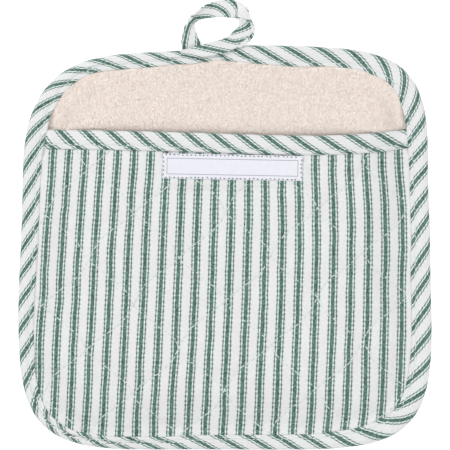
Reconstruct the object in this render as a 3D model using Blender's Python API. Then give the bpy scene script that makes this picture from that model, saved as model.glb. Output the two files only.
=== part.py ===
"""A pot holder with a pocket, lying on its back.

A quilted pad with a terry face, a quilted striped pocket over its lower part, a bias binding
round the whole edge, a second one along the pocket's mouth, a hanging loop of the same strip
and a plain woven label. Metres, +Z up and away from the back, +Y towards the hanging loop.
The origin is under the middle of the whole object's box.
"""

import math

import bmesh
import bpy
import numpy as np

MM = 0.001

# Outline of the bound edge, round BODY_CENTRE.
HALF_WIDTH = 114.5 * MM
HALF_HEIGHT = 111.4 * MM
BODY_CENTRE = (-0.2 * MM, -13.1 * MM)
# How far each corner fills its square: 2 is an ellipse, more is squarer.
CORNER_POWER = {"top_right": 5.3, "top_left": 3.7, "bottom_left": 5.2, "bottom_right": 5.2}
# The sewn edge wanders off the even outline. Columns: angle in degrees, outward in mm.
EDGE_WANDER = (
    (0, -0.6),
    (20, -1.8),
    (50, 0.5),
    (80, 1.3),
    (110, -1.9),
    (135, 0.9),
    (166, -2.3),
    (200, -0.1),
    (230, 0.4),
    (260, -0.2),
    (300, 0.0),
    (325, 0.9),
)
# How wide the edge binding shows on the front. Columns: angle in degrees, width in mm.
BINDING_WIDTH = (
    (0, 10.8),
    (50, 9.6),
    (90, 10.2),
    (135, 9.2),
    (180, 9.7),
    (215, 7.6),
    (245, 9.0),
    (270, 8.8),
    (300, 10.5),
    (320, 11.8),
    (340, 11.2),
)
BACK_LEG_WIDTH = 9.5 * MM
BACK_LEG_CLEARANCE = 5.5 * MM
BACK_STEP_RUN = 4 * MM

# Thicknesses and levels, from the surface up.
PIECE_GAP = 0.3 * MM
BINDING_THICK = 1.0 * MM
PAD_EDGE_THICK = 3.0 * MM
PAD_CROWN = 7.0 * MM
POCKET_SEAM_THICK = 2.0 * MM
POCKET_THICK = 4.2 * MM
MOUTH_LEG_THICK = 0.8 * MM
MOUTH_SEAM_THICK = 3.0 * MM
MOUTH_FOLD_ROUND = 0.9 * MM
PAD_RISE_MARGIN = 3.5 * MM
POCKET_RISE_MARGIN = 2.0 * MM
CROWN_RUN = 22 * MM
EDGE_INSET = 2.0 * MM
FOLD_WALL = 1.1 * MM
FOLD_ROUND = 1.6 * MM
QUILT_DEPTH = 0.9 * MM

# The pocket's mouth, as powers of the share of the way from the middle to an end: its height
# over the body's centre, its slope, then how it sags and rises, in mm.
MOUTH_CURVE = (63.3, -3.7, 0.1, 4.8, 4.5)
MOUTH_BINDING_WIDTH = 10.8 * MM
MOUTH_BAND_MARGIN = 1.9 * MM
MOUTH_BAND_RUN = 3.8 * MM
MOUTH_SEAM_RUN = 8 * MM
# How far below the panel's tucked edge its last rows of faces lie.
MOUTH_ROWS = (16.0 * MM, 11.5 * MM, 6.0 * MM, 0.0)
HOLLOW_HEIGHT = 7.2 * MM
HOLLOW_SIDE_RUN = 38 * MM
HOLLOW_FLOOR_SHARE = 0.2
HOLLOW_RISE = 0.8
# Past the mouth's ends the edge binding comes down onto the bare pad.
COVER_MARGIN = 5 * MM
COVER_RUN = 13 * MM
SEAM_RELEASE = 1.0 * MM
SEAM_RELEASE_RUN = 10 * MM

# Quilting: two crossing sets of wavy diagonals, a set for each row. Columns: slope sign (x plus
# or minus y stays the same along a line), its offset and spacing, then the period, start and
# height of the wave along a line, in mm.
QUILT_LINES = (
    (-1, 29.0, 49.2, 101.0, 22.3, 3.2),
    (1, -28.4, 50.9, 54.0, -25.0, 1.8),
)
QUILT_SKEW = 0.4
PUFF_ROUNDNESS = 0.7

# The woven label.
LABEL_SIZE = (76 * MM, 14.6 * MM)
LABEL_CENTRE = (4.5 * MM, 44.8 * MM)
LABEL_TURN = math.radians(-0.9)
LABEL_THICK = 1.0 * MM
LABEL_LIFT = 0.5 * MM
LABEL_MARGIN = 7 * MM

# The hanging loop's strip, from its foot at the top edge round to its end on the binding's
# front. Columns: x and y from the body's centre, z, in mm, and the strip's tilt in degrees.
LOOP_WIDTH = 8.6 * MM
LOOP_THICK = 2.4 * MM
LOOP_STATIONS = 30
LOOP_PATH = (
    (-18.5, 112.35, 2.6, 0),
    (-19.7, 116.4, 2.6, 0),
    (-20.2, 121.0, 2.9, 8),
    (-18.9, 126.3, 4.0, 38),
    (-14.6, 130.4, 4.1, 42),
    (-8.0, 132.7, 3.1, 12),
    (-0.8, 133.2, 2.6, 0),
    (5.8, 131.8, 2.8, 6),
    (10.4, 128.3, 3.9, 36),
    (12.0, 123.4, 4.4, 38),
    (10.6, 118.8, 5.4, 18),
    (6.0, 115.2, 6.9, 2),
    (-0.3, 113.1, 7.1, 0),
    (-7.0, 111.2, 7.1, 0),
    (-15.0, 109.6, 7.0, 0),
)

# Mesh density.
OUTLINE_SAMPLES = 720
RING_STATIONS = 110
PAD_CELLS = (24, 24)
POCKET_CELLS = (30, 26)
LABEL_CELLS = (16, 2)
END_CROWDING = 0.5
MOUTH_LINE_SAMPLES = 60
SAMPLES_PER_SPAN = 24
MOUTH_END_STEPS = 6
# The share of the half width and height within which a side of the outline is a single line.
SIDE_SHARE = 0.8


def smoothstep(value):
    """Ease from 0 to 1 as value goes from 0 to 1."""
    share = np.clip(value, 0.0, 1.0)
    return share * share * (3.0 - 2.0 * share)


def read_round_table(table, degrees):
    """Read a table of (angle, value) rows that closes on itself, eased between its rows."""
    first_angle, first_value = table[0]
    rows = list(table) + [(first_angle + 360, first_value)]
    wanted = (np.asarray(degrees, dtype=float) - first_angle) % 360 + first_angle
    result = np.zeros_like(wanted)
    for (angle, value), (next_angle, next_value) in zip(rows, rows[1:]):
        here = (wanted >= angle) & (wanted <= next_angle)
        share = smoothstep((wanted - angle) / (next_angle - angle))
        result = np.where(here, value + (next_value - value) * share, result)
    return result


def outline_point(degrees):
    """Give a point of the bound edge, at an angle seen from the body's centre."""
    angle = math.radians(degrees)
    across = math.cos(angle)
    up = math.sin(angle)
    side = "right" if across >= 0 else "left"
    end = "top" if up >= 0 else "bottom"
    power = CORNER_POWER[end + "_" + side]
    fullness = abs(across / HALF_WIDTH) ** power + abs(up / HALF_HEIGHT) ** power
    radius = fullness ** (-1.0 / power) + float(read_round_table(EDGE_WANDER, degrees)) * MM
    return radius * across, radius * up


OUTLINE = np.array([outline_point(360.0 * i / OUTLINE_SAMPLES) for i in range(OUTLINE_SAMPLES)])


def outline_normals():
    """Give the outward direction at each sample of the outline."""
    along = np.roll(OUTLINE, -1, axis=0) - np.roll(OUTLINE, 1, axis=0)
    outward = np.stack([along[:, 1], -along[:, 0]], axis=1)
    return outward / np.linalg.norm(outward, axis=1, keepdims=True)


NORMALS = outline_normals()


def inset_outline(inset):
    """Give the outline moved inwards."""
    return OUTLINE - NORMALS * inset


def depth_in(x, y):
    """Give how far points lie inside the bound edge."""
    places = np.stack([np.ravel(x), np.ravel(y)], axis=1)
    steps = places[:, None, :] - OUTLINE[None, :, :]
    return np.sqrt((steps**2).sum(axis=2)).min(axis=1).reshape(np.shape(x))


def binding_width(x, y):
    """Give the edge binding's width on the front, beside the given points."""
    return read_round_table(BINDING_WIDTH, np.degrees(np.arctan2(y, x))) * MM


def mouth_line(x):
    """Give the height of the pocket's mouth at x."""
    share = x / (HALF_WIDTH - EDGE_INSET)
    return sum(height * MM * share**power for power, height in enumerate(MOUTH_CURVE))


def quilt_puff(x, y):
    """Give 1 between the quilting lines and 0 on them."""
    puff = np.ones(np.shape(x))
    for sign, offset, spacing, period, start, height in QUILT_LINES:
        across = x + sign * y
        along = x - sign * y
        turn = 2 * math.pi * (along - start * MM) / (period * MM)
        wave = height * MM * (np.sin(turn) + QUILT_SKEW * np.sin(2 * turn))
        phase = (across - offset * MM + wave) / (spacing * MM)
        puff = puff * np.abs(np.sin(math.pi * phase)) ** PUFF_ROUNDNESS
    return puff


def pad_crown(x, y):
    """Give the pad's front level, without its quilting."""
    edge_level = BINDING_THICK + PIECE_GAP + PAD_EDGE_THICK
    inside = depth_in(x, y) - binding_width(x, y) - PAD_RISE_MARGIN
    return edge_level + (PAD_CROWN - edge_level) * smoothstep(inside / CROWN_RUN)


def pad_front(x, y):
    """Give the pad's front level."""
    inside = depth_in(x, y) - binding_width(x, y) - PAD_RISE_MARGIN
    share = smoothstep(inside / CROWN_RUN)
    return pad_crown(x, y) - QUILT_DEPTH * share * (1.0 - quilt_puff(x, y))


def pad_back(x, y):
    """Give the pad's back level: flat on the surface, and up into the binding at its edge."""
    inside = depth_in(x, y) - BACK_LEG_WIDTH - BACK_LEG_CLEARANCE
    return (BINDING_THICK + PIECE_GAP) * (1.0 - np.clip(inside / BACK_STEP_RUN, 0.0, 1.0))


def mouth_band(x, y):
    """Give 1 under the mouth's binding and 0 below it."""
    below = mouth_line(x) - y
    return 1.0 - smoothstep((below - MOUTH_BINDING_WIDTH - MOUTH_BAND_MARGIN) / MOUTH_BAND_RUN)


def seam_thickness(x, y):
    """Give the pocket's thickness where the edge binding presses it."""
    below = mouth_line(x) - y
    share = 1.0 - smoothstep((below - MOUTH_BINDING_WIDTH - MOUTH_BAND_MARGIN) / MOUTH_SEAM_RUN)
    return POCKET_SEAM_THICK + (MOUTH_SEAM_THICK - POCKET_SEAM_THICK) * share


def pocket_back(x, y):
    """Give the pocket's back level: the top of the hollow that the hand goes into."""
    inside = depth_in(x, y) - binding_width(x, y) - POCKET_RISE_MARGIN
    floor = -HALF_HEIGHT
    up_share = np.clip((y - floor) / (mouth_line(x) - floor), 0.0, 1.0)
    open_share = HOLLOW_FLOOR_SHARE + (1.0 - HOLLOW_FLOOR_SHARE) * up_share**HOLLOW_RISE
    hollow = HOLLOW_HEIGHT * open_share * smoothstep(inside / HOLLOW_SIDE_RUN)
    release = SEAM_RELEASE * smoothstep(inside / SEAM_RELEASE_RUN)
    return pad_crown(x, y) + PIECE_GAP + hollow + release


def label_closeness(x, y):
    """Give 1 under the label and 0 away from it."""
    across = np.abs(x - LABEL_CENTRE[0]) - LABEL_SIZE[0] / 2
    up = np.abs(y - LABEL_CENTRE[1]) - LABEL_SIZE[1] / 2
    return 1.0 - smoothstep(np.maximum(across, up) / LABEL_MARGIN)


def pocket_front(x, y):
    """Give the pocket's front level, its mouth's binding included."""
    inside = depth_in(x, y) - binding_width(x, y) - POCKET_RISE_MARGIN
    share = smoothstep(inside / CROWN_RUN)
    seam = seam_thickness(x, y)
    quiet = np.maximum(mouth_band(x, y), label_closeness(x, y))
    quilting = QUILT_DEPTH * (1.0 - quilt_puff(x, y)) * (1.0 - quiet)
    return pocket_back(x, y) + seam + (POCKET_THICK - seam - quilting) * share


def panel_back(x, y):
    """Give the quilted panel's back level, inside its mouth's binding."""
    return pocket_back(x, y) + (MOUTH_LEG_THICK + PIECE_GAP) * mouth_band(x, y)


def panel_front(x, y):
    """Give the quilted panel's front level, inside its mouth's binding."""
    return pocket_front(x, y) - (MOUTH_LEG_THICK + PIECE_GAP) * mouth_band(x, y)


def label_back(x, y):
    """Give the label's back level, just clear of the pocket."""
    return pocket_front(x, y) + LABEL_LIFT


def label_front(x, y):
    """Give the label's front level."""
    return label_back(x, y) + LABEL_THICK


def plain_material(name, colour, roughness):
    """Make a plain cloth material."""
    material = bpy.data.materials.new(name)
    material.use_nodes = True
    shader = material.node_tree.nodes["Principled BSDF"]
    shader.inputs["Base Color"].default_value = (*colour, 1.0)
    shader.inputs["Roughness"].default_value = roughness
    shader.inputs["Metallic"].default_value = 0.0
    return material


def finish(bm, name, material, collection):
    """Turn a closed bmesh in the body's own frame into a named object."""
    bmesh.ops.recalc_face_normals(bm, faces=bm.faces)
    for vert in bm.verts:
        vert.co.x += BODY_CENTRE[0]
        vert.co.y += BODY_CENTRE[1]
    mesh = bpy.data.meshes.new(name)
    bm.to_mesh(mesh)
    bm.free()
    mesh.materials.append(material)
    mesh.shade_smooth()
    mesh.set_sharp_from_angle(angle=math.radians(50))
    thing = bpy.data.objects.new(name, mesh)
    collection.objects.link(thing)
    return thing


def crowded_levels(count):
    """Give count + 1 levels from 0 to 1 that lie closer together at both ends."""
    even = np.linspace(0.0, 1.0, count + 1)
    crowded = 0.5 - 0.5 * np.cos(math.pi * even)
    return even + (crowded - even) * END_CROWDING


def along_line(points, levels):
    """Give the places at the given shares of a line's length."""
    steps = np.linalg.norm(np.diff(points, axis=0), axis=1)
    lengths = np.concatenate([[0.0], np.cumsum(steps)])
    lengths /= lengths[-1]
    columns = [np.interp(levels, lengths, points[:, axis]) for axis in range(2)]
    return np.stack(columns, axis=1)


def stretch_of(points, start_degrees, end_degrees):
    """Give the stretch of an outline between two angles, in the order asked for."""
    per_degree = OUTLINE_SAMPLES / 360.0
    start = round(start_degrees * per_degree)
    end = round(end_degrees * per_degree)
    step = 1 if end > start else -1
    return points[np.arange(start, end + step, step) % OUTLINE_SAMPLES]


def fill_patch(bottom, top, left, right, across, up):
    """Fill the patch between four lines with a grid of places, rows from bottom to top."""
    u = across[None, :, None]
    v = up[:, None, None]
    ruled_up = (1 - v) * bottom[None, :, :] + v * top[None, :, :]
    ruled_across = (1 - u) * left[:, None, :] + u * right[:, None, :]
    low = (1 - u) * bottom[0] + u * bottom[-1]
    high = (1 - u) * top[0] + u * top[-1]
    return ruled_up + ruled_across - ((1 - v) * low + v * high)


def slab(name, places, back, front, material, collection):
    """Make a closed slab on a grid of places, between a back and a front level."""
    rows, columns = places.shape[:2]
    bm = bmesh.new()
    bmesh.ops.create_grid(bm, x_segments=columns - 1, y_segments=rows - 1, size=1.0)
    sheet = list(bm.verts)
    grown = bmesh.ops.extrude_face_region(bm, geom=list(bm.faces))
    lifted = [item for item in grown["geom"] if isinstance(item, bmesh.types.BMVert)]
    for verts, level in ((sheet, back), (lifted, front)):
        column = [round((vert.co.x + 1) / 2 * (columns - 1)) for vert in verts]
        row = [round((vert.co.y + 1) / 2 * (rows - 1)) for vert in verts]
        spots = places[row, column]
        heights = level(spots[:, 0], spots[:, 1])
        for vert, spot, height in zip(verts, spots, heights):
            vert.co = (spot[0], spot[1], height)
    return finish(bm, name, material, collection)


def loft(name, rings, closed, material, collection):
    """Join rings of equal length into one closed skin, as a hoop or with an end cap each way.

    A ring runs along one side of the strip and back along the other, so a cap is a row of quads.
    """
    bm = bmesh.new()
    verts = [[bm.verts.new(place) for place in ring] for ring in rings]
    pairs = list(zip(verts, verts[1:]))
    if closed:
        pairs.append((verts[-1], verts[0]))
    for here, there in pairs:
        for i in range(len(here)):
            j = (i + 1) % len(here)
            bm.faces.new((here[i], here[j], there[j], there[i]))
    for end in () if closed else (verts[0], verts[-1]):
        last = len(end) - 1
        for i in range(len(end) // 2 - 1):
            bm.faces.new((end[i], end[i + 1], end[last - i - 1], end[last - i]))
    return finish(bm, name, material, collection)


def make_back_pad(material, collection):
    """Make the quilted back pad."""
    edge = inset_outline(EDGE_INSET)
    columns, rows = PAD_CELLS
    across = crowded_levels(columns)
    up = crowded_levels(rows)
    places = fill_patch(
        along_line(stretch_of(edge, 225, 315), across),
        along_line(stretch_of(edge, 135, 45), across),
        along_line(stretch_of(edge, 225, 135), up),
        along_line(stretch_of(edge, 315, 405), up),
        across,
        up,
    )
    return slab("back_pad", places, pad_back, pad_front, material, collection)


def side_x(y, side):
    """Give the x of the pressed edge at the given heights, on the right (1) or the left (-1)."""
    edge = inset_outline(EDGE_INSET)
    near = (edge[:, 0] * side > HALF_WIDTH * SIDE_SHARE) & (np.abs(edge[:, 1]) < HALF_HEIGHT * SIDE_SHARE)
    chosen = edge[near]
    order = np.argsort(chosen[:, 1])
    return np.interp(y, chosen[order, 1], chosen[order, 0])


def mouth_end(side, below):
    """Give the place where a line a given way below the mouth meets the pressed edge."""
    x = side * HALF_WIDTH
    for _ in range(MOUTH_END_STEPS):
        x = float(side_x(mouth_line(x) - below, side))
    return x, float(mouth_line(x) - below)


def make_pocket_panel(material, collection):
    """Make the quilted pocket panel, from the bottom seam up into its mouth's binding."""
    edge = inset_outline(EDGE_INSET)
    columns, rows = POCKET_CELLS
    across = crowded_levels(columns)
    tuck = FOLD_WALL + 2 * PIECE_GAP
    last_rows = 1.0 - np.array(MOUTH_ROWS) / (HALF_HEIGHT + MOUTH_CURVE[0] * MM - tuck)
    up = np.concatenate([crowded_levels(rows - len(last_rows))[:-1], last_rows])
    up[: -len(last_rows)] *= last_rows[0]
    left_end = mouth_end(-1, tuck)
    right_end = mouth_end(1, tuck)
    mouth_x = np.linspace(left_end[0], right_end[0], MOUTH_LINE_SAMPLES)
    mouth = np.stack([mouth_x, mouth_line(mouth_x) - tuck], axis=1)
    left = stretch_of(edge, 225, 135)
    left = np.vstack([left[left[:, 1] < left_end[1]], left_end])
    right = stretch_of(edge, 315, 405)
    right = np.vstack([right[right[:, 1] < right_end[1]], right_end])
    places = fill_patch(
        along_line(stretch_of(edge, 225, 315), across),
        along_line(mouth, across),
        along_line(left, up),
        along_line(right, up),
        across,
        up,
    )
    return slab("pocket_panel", places, panel_back, panel_front, material, collection)


def make_pocket_binding(material, collection):
    """Make the strip that is folded over the pocket's mouth."""
    end = MOUTH_BINDING_WIDTH
    leg = MOUTH_LEG_THICK
    crease = PIECE_GAP
    turn = MOUTH_FOLD_ROUND
    # Columns: way below the mouth, share of the way from back to front, level over that.
    section = (
        (end, 0, 0.0),
        (end / 2, 0, 0.0),
        (turn, 0, 0.0),
        (0.0, 0, turn),
        (0.0, 1, -turn),
        (turn, 1, 0.0),
        (end / 2, 1, 0.0),
        (end, 1, 0.0),
        (end, 1, -leg),
        (end / 2, 1, -leg),
        (FOLD_WALL + crease, 1, -leg),
        (FOLD_WALL, 1, -leg - crease),
        (FOLD_WALL, 0, leg + crease),
        (FOLD_WALL + crease, 0, leg),
        (end / 2, 0, leg),
        (end, 0, leg),
    )
    rings = []
    for share in crowded_levels(POCKET_CELLS[0]):
        ring = []
        for below, front, lift in section:
            left_x = mouth_end(-1, below)[0]
            right_x = mouth_end(1, below)[0]
            x = np.array(left_x + (right_x - left_x) * share)
            y = mouth_line(x) - below
            level = pocket_front(x, y) if front else pocket_back(x, y)
            ring.append((float(x), float(y), float(level) + lift))
        rings.append(ring)
    return loft("pocket_binding", rings, False, material, collection)


def cover_level(x, y):
    """Give the level of the edge binding's front leg, on its pressed side."""
    pad_level = BINDING_THICK + PIECE_GAP + PAD_EDGE_THICK + PIECE_GAP
    above = y - mouth_line(x)
    pocket_share = 1.0 - smoothstep((above - COVER_MARGIN) / COVER_RUN)
    return pad_level + (seam_thickness(x, y) + PIECE_GAP) * pocket_share


def ring_samples():
    """Give the outline samples where the ring's sections stand, closer together in the corners."""
    turn = np.arctan2(NORMALS[:, 1], NORMALS[:, 0])
    turning = np.abs((np.roll(turn, -1) - turn + math.pi) % (2 * math.pi) - math.pi)
    steps = np.linalg.norm(np.roll(OUTLINE, -1, axis=0) - OUTLINE, axis=1)
    weight = 2 * steps / steps.sum() + turning / turning.sum()
    travelled = np.cumsum(weight) / weight.sum()
    return [int(np.searchsorted(travelled, (i + 0.5) / RING_STATIONS)) for i in range(RING_STATIONS)]


def make_edge_binding(material, collection):
    """Make the closed ring that is folded round the edge."""
    rings = []
    for sample in ring_samples():
        corner = OUTLINE[sample]
        inward = -NORMALS[sample]
        width = float(binding_width(corner[0], corner[1]))
        level = float(cover_level(corner[0], corner[1]))
        top = level + BINDING_THICK
        section = (
            (BACK_LEG_WIDTH, 0.0),
            (FOLD_ROUND, 0.0),
            (0.0, FOLD_ROUND),
            (0.0, top - FOLD_ROUND),
            (FOLD_ROUND, top),
            (width, top),
            (width, level),
            (FOLD_WALL, level),
            (FOLD_WALL, BINDING_THICK),
            (BACK_LEG_WIDTH, BINDING_THICK),
        )
        rings.append([(*(corner + inward * inset), height) for inset, height in section])
    return loft("edge_binding", rings, True, material, collection)


def smooth_path(rows, count):
    """Give count rows evenly spaced along a smooth line through the given rows."""
    rows = np.array(rows, dtype=float)
    padded = np.vstack([2 * rows[0] - rows[1], rows, 2 * rows[-1] - rows[-2]])
    fine = []
    for a, b, c, d in zip(padded, padded[1:], padded[2:], padded[3:]):
        for i in range(SAMPLES_PER_SPAN):
            t = i / SAMPLES_PER_SPAN
            fine.append(
                0.5 * (2 * b + (c - a) * t + (2 * a - 5 * b + 4 * c - d) * t**2
                       + (3 * b - a - 3 * c + d) * t**3)
            )
    fine.append(rows[-1])
    fine = np.array(fine)
    steps = np.linalg.norm(np.diff(fine[:, :3], axis=0), axis=1)
    lengths = np.concatenate([[0.0], np.cumsum(steps)])
    wanted = np.linspace(0.0, lengths[-1], count)
    columns = [np.interp(wanted, lengths, fine[:, axis]) for axis in range(rows.shape[1])]
    return np.stack(columns, axis=1)


def make_hanging_loop(material, collection):
    """Make the flat strip that runs round the hanging loop."""
    half = LOOP_WIDTH / 2
    thick = LOOP_THICK / 2
    # Columns: share of the half width, share of the half thickness.
    section = (
        (-1.0, 0.35),
        (-0.82, 1.0),
        (0.0, 1.0),
        (0.82, 1.0),
        (1.0, 0.35),
        (1.0, -0.35),
        (0.82, -1.0),
        (0.0, -1.0),
        (-0.82, -1.0),
        (-1.0, -0.35),
    )
    path = smooth_path(LOOP_PATH, LOOP_STATIONS)
    centres = path[:, :3] * MM
    rings = []
    for i, centre in enumerate(centres):
        along = centres[min(i + 1, len(centres) - 1)] - centres[max(i - 1, 0)]
        flat = np.array([along[0], along[1], 0.0])
        flat /= np.linalg.norm(flat)
        outward = np.array([-flat[1], flat[0], 0.0])
        tilt = math.radians(path[i, 3])
        across = outward * math.cos(tilt) + np.array([0.0, 0.0, math.sin(tilt)])
        over = np.array([0.0, 0.0, math.cos(tilt)]) - outward * math.sin(tilt)
        rings.append([tuple(centre + across * half * w + over * thick * h) for w, h in section])
    return loft("hanging_loop", rings, False, material, collection)


def make_label(material, collection):
    """Make the label, lying on the panel just under the mouth's binding."""
    columns, rows = LABEL_CELLS
    across = np.linspace(-0.5, 0.5, columns + 1) * LABEL_SIZE[0]
    up = np.linspace(-0.5, 0.5, rows + 1) * LABEL_SIZE[1]
    flat_x, flat_y = np.meshgrid(across, up)
    x = LABEL_CENTRE[0] + flat_x * math.cos(LABEL_TURN) - flat_y * math.sin(LABEL_TURN)
    y = LABEL_CENTRE[1] + flat_x * math.sin(LABEL_TURN) + flat_y * math.cos(LABEL_TURN)
    places = np.stack([x, y], axis=2)
    return slab("label", places, label_back, label_front, material, collection)


def main():
    """Build the pot holder in its own collection."""
    for thing in list(bpy.data.objects):
        bpy.data.objects.remove(thing, do_unlink=True)
    collection = bpy.data.collections.new("pot_holder")
    bpy.context.scene.collection.children.link(collection)
    terry = plain_material("cream_terry", (0.84, 0.75, 0.68), 0.95)
    panel_cloth = plain_material("striped_ticking", (0.66, 0.71, 0.70), 0.85)
    edge_cloth = plain_material("bias_ticking", (0.62, 0.70, 0.68), 0.85)
    mouth_cloth = plain_material("mouth_bias_ticking", (0.60, 0.68, 0.66), 0.85)
    loop_cloth = plain_material("loop_bias_ticking", (0.58, 0.67, 0.65), 0.85)
    satin = plain_material("white_satin", (0.80, 0.80, 0.82), 0.45)
    make_back_pad(terry, collection)
    make_pocket_panel(panel_cloth, collection)
    make_pocket_binding(mouth_cloth, collection)
    make_edge_binding(edge_cloth, collection)
    make_hanging_loop(loop_cloth, collection)
    make_label(satin, collection)


main()
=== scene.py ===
"""A pot holder with a hand pocket, lying on its back on a pale surface.

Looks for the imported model: striped ticking, cream terry, bias bindings, quilting and stitching.
Metres, +Z away from the back, +Y towards the hanging loop. Places on the body are worked out
round BODY_CENTRE and moved there when a piece is finished.
"""

import math
from types import SimpleNamespace

import bmesh
import bpy
import numpy as np
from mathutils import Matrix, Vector
from mathutils.bvhtree import BVHTree


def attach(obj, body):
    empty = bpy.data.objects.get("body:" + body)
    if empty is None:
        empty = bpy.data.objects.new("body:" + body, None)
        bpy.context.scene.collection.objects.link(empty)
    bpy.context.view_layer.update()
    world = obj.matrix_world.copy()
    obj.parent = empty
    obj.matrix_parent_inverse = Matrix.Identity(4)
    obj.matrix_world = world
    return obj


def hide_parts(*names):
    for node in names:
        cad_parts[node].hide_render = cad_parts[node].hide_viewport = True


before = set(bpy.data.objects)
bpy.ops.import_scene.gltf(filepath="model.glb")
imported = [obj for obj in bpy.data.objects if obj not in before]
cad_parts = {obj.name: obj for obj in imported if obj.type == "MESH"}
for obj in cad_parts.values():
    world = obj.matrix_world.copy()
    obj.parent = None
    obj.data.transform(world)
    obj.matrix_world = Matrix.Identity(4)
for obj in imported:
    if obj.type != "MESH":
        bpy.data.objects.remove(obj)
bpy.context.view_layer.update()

MM = 0.001
BODY = "root"

# ---------------------------------------------------------------- the pot holder's own sizes

HALF_WIDTH = 114.5 * MM
HALF_HEIGHT = 111.4 * MM
BODY_CENTRE = np.array((-0.2, -13.1)) * MM
# How square each corner is. Rows: bottom, top. Columns: left, right.
CORNER_POWER = np.array(((5.2, 5.2), (3.7, 5.3)))
# The sewn edge wanders off the even outline. Columns: angle in degrees, outward in mm.
EDGE_WANDER = (
    (0, -0.6), (20, -1.8), (50, 0.5), (80, 1.3), (110, -1.9), (135, 0.9),
    (166, -2.3), (200, -0.1), (230, 0.4), (260, -0.2), (300, 0.0), (325, 0.9),
)
# How wide the edge binding shows on the front. Columns: angle in degrees, width in mm.
BINDING_WIDTH = (
    (0, 10.8), (20, 10.6), (30, 11.6), (44, 11.6), (56, 10.8), (72, 11.5),
    (82, 10.2), (92, 7.4), (104, 7.9), (114, 9.0), (126, 7.8), (136, 9.5),
    (143, 10.4), (149, 10.9), (156, 10.3), (166, 9.7), (180, 9.6), (196, 9.0),
    (206, 8.6), (215, 7.9), (228, 6.6), (238, 7.0), (250, 7.4), (264, 8.0),
    (280, 8.3), (292, 8.8), (302, 9.7), (310, 10.7), (322, 11.7), (340, 11.2),
)
PIECE_GAP = 0.3 * MM
BINDING_THICK = 1.0 * MM
PAD_EDGE_LEVEL = BINDING_THICK + PIECE_GAP + 3.0 * MM
PAD_CROWN = 7.0 * MM
PAD_RISE_MARGIN = 3.5 * MM
CROWN_RUN = 22 * MM
EDGE_INSET = 2.0 * MM
STITCH_INSET = 2.4 * MM

# The terry swells in front of the pocket's mouth and is a little lumpy. The swelling's rise and
# fall each say how far above the mouth they start, and over what run.
TERRY_SWELLING = 4.2 * MM
TERRY_RISE = (-5 * MM, 6 * MM)
TERRY_FALL = (3 * MM, 36 * MM)
TERRY_SIDE_RUN = 9 * MM
TERRY_LUMPS = 0.08 * MM
TERRY_LUMP_SIZE = 11 * MM
TERRY_LUMP_SIDE_RUN = 10 * MM

# The back cloth, and where it rises off the surface into the edge binding.
BACK_CLOTH_THICK = 0.5 * MM
BACK_CLOTH_GAP = 0.1 * MM
BACK_LEG_WIDTH = 9.5 * MM
BACK_RISE_MARGIN = 5.5 * MM
BACK_RISE_RUN = 4 * MM
BACK_QUILT_DEPTH = 1.0 * MM
BACK_QUILT_RUN = 20 * MM

# The pocket's mouth, as powers of the share of the way from the middle to an end, in mm.
MOUTH_CURVE = (63.3, -3.7, 0.1, 4.8, 4.5)
MOUTH_BINDING_WIDTH = 10.6 * MM
MOUTH_BAND_MARGIN = 1.9 * MM
MOUTH_BAND_RUN = 3.8 * MM
MOUTH_LEG_THICK = 0.8 * MM
MOUTH_SEAM_THICK = 3.0 * MM
MOUTH_SEAM_RUN = 8 * MM
FOLD_WALL = 1.1 * MM
POCKET_THICK = 4.2 * MM
POCKET_SEAM_THICK = 2.0 * MM
POCKET_RISE_MARGIN = 2.0 * MM
HOLLOW_HEIGHT = 7.2 * MM
HOLLOW_SIDE_RUN = 38 * MM
HOLLOW_FLOOR_SHARE = 0.2
HOLLOW_RISE = 0.8
SEAM_RELEASE = 1.0 * MM
SEAM_RELEASE_RUN = 10 * MM
COVER_MARGIN = 5 * MM
COVER_RUN = 13 * MM

# Quilting: two crossing sets of wavy diagonals, a set for each row. Columns: slope sign (x plus
# or minus y stays the same along a line), its offset and spacing, then the period, start and
# height of the wave along a line, in mm.
QUILT_LINES = ((-1, 29.0, 49.2, 101.0, 22.3, 3.2), (1, -28.4, 50.9, 54.0, -25.0, 1.8))
QUILT_SKEW = 0.4
# How far each line is followed, in mm, which of a set's lines are drawn, and the fewest places
# that are worth sewing.
QUILT_REACH = 340.0
QUILT_NUMBERS = range(-6, 7)
QUILT_FEWEST = 4
QUILT_DEPTH = 1.3 * MM
QUILT_GROOVE_DEPTH = 0.45 * MM
QUILT_GROOVE_WIDTH = 1.1 * MM
QUILT_SEWN_HALF = 1.2 * MM
SEAM_SEWN_HALF = 1.5 * MM
PUFF_ROUNDNESS = 0.6
# The panel swells, and is a little lumpy, away from the seams that hold it down.
PANEL_OPEN_RUN = 9 * MM
PANEL_LUMP_SIZE = 13 * MM
PANEL_LUMPS = 0.2 * MM

LABEL_SIZE = (77 * MM, 13.8 * MM)
LABEL_CENTRE = (4.3 * MM, 44.8 * MM)
LABEL_TURN = math.radians(-1.1)
LABEL_THICK = 0.5 * MM
LABEL_MARGIN = 7 * MM
LABEL_GAP = 0.15 * MM
LABEL_EDGE_RUN = 0.8 * MM
LABEL_EDGE_SHARE = 0.55
LABEL_LUMP_SIZE = 8 * MM
LABEL_LUMPS = 0.12 * MM
# The label rises over the bead of the mouth's binding. Its height, and its place above and reach
# from the binding's lip.
LABEL_BEAD = (0.5 * MM, 0.8 * MM, 1.8 * MM)
LABEL_RULE_INSET = 2.6 * MM
LABEL_RULE_HALF = (0.1 * MM, 0.25 * MM)

# ---------------------------------------------------------------- the striped cloth

STRIPE_PITCH = 9.5 * MM
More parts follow.
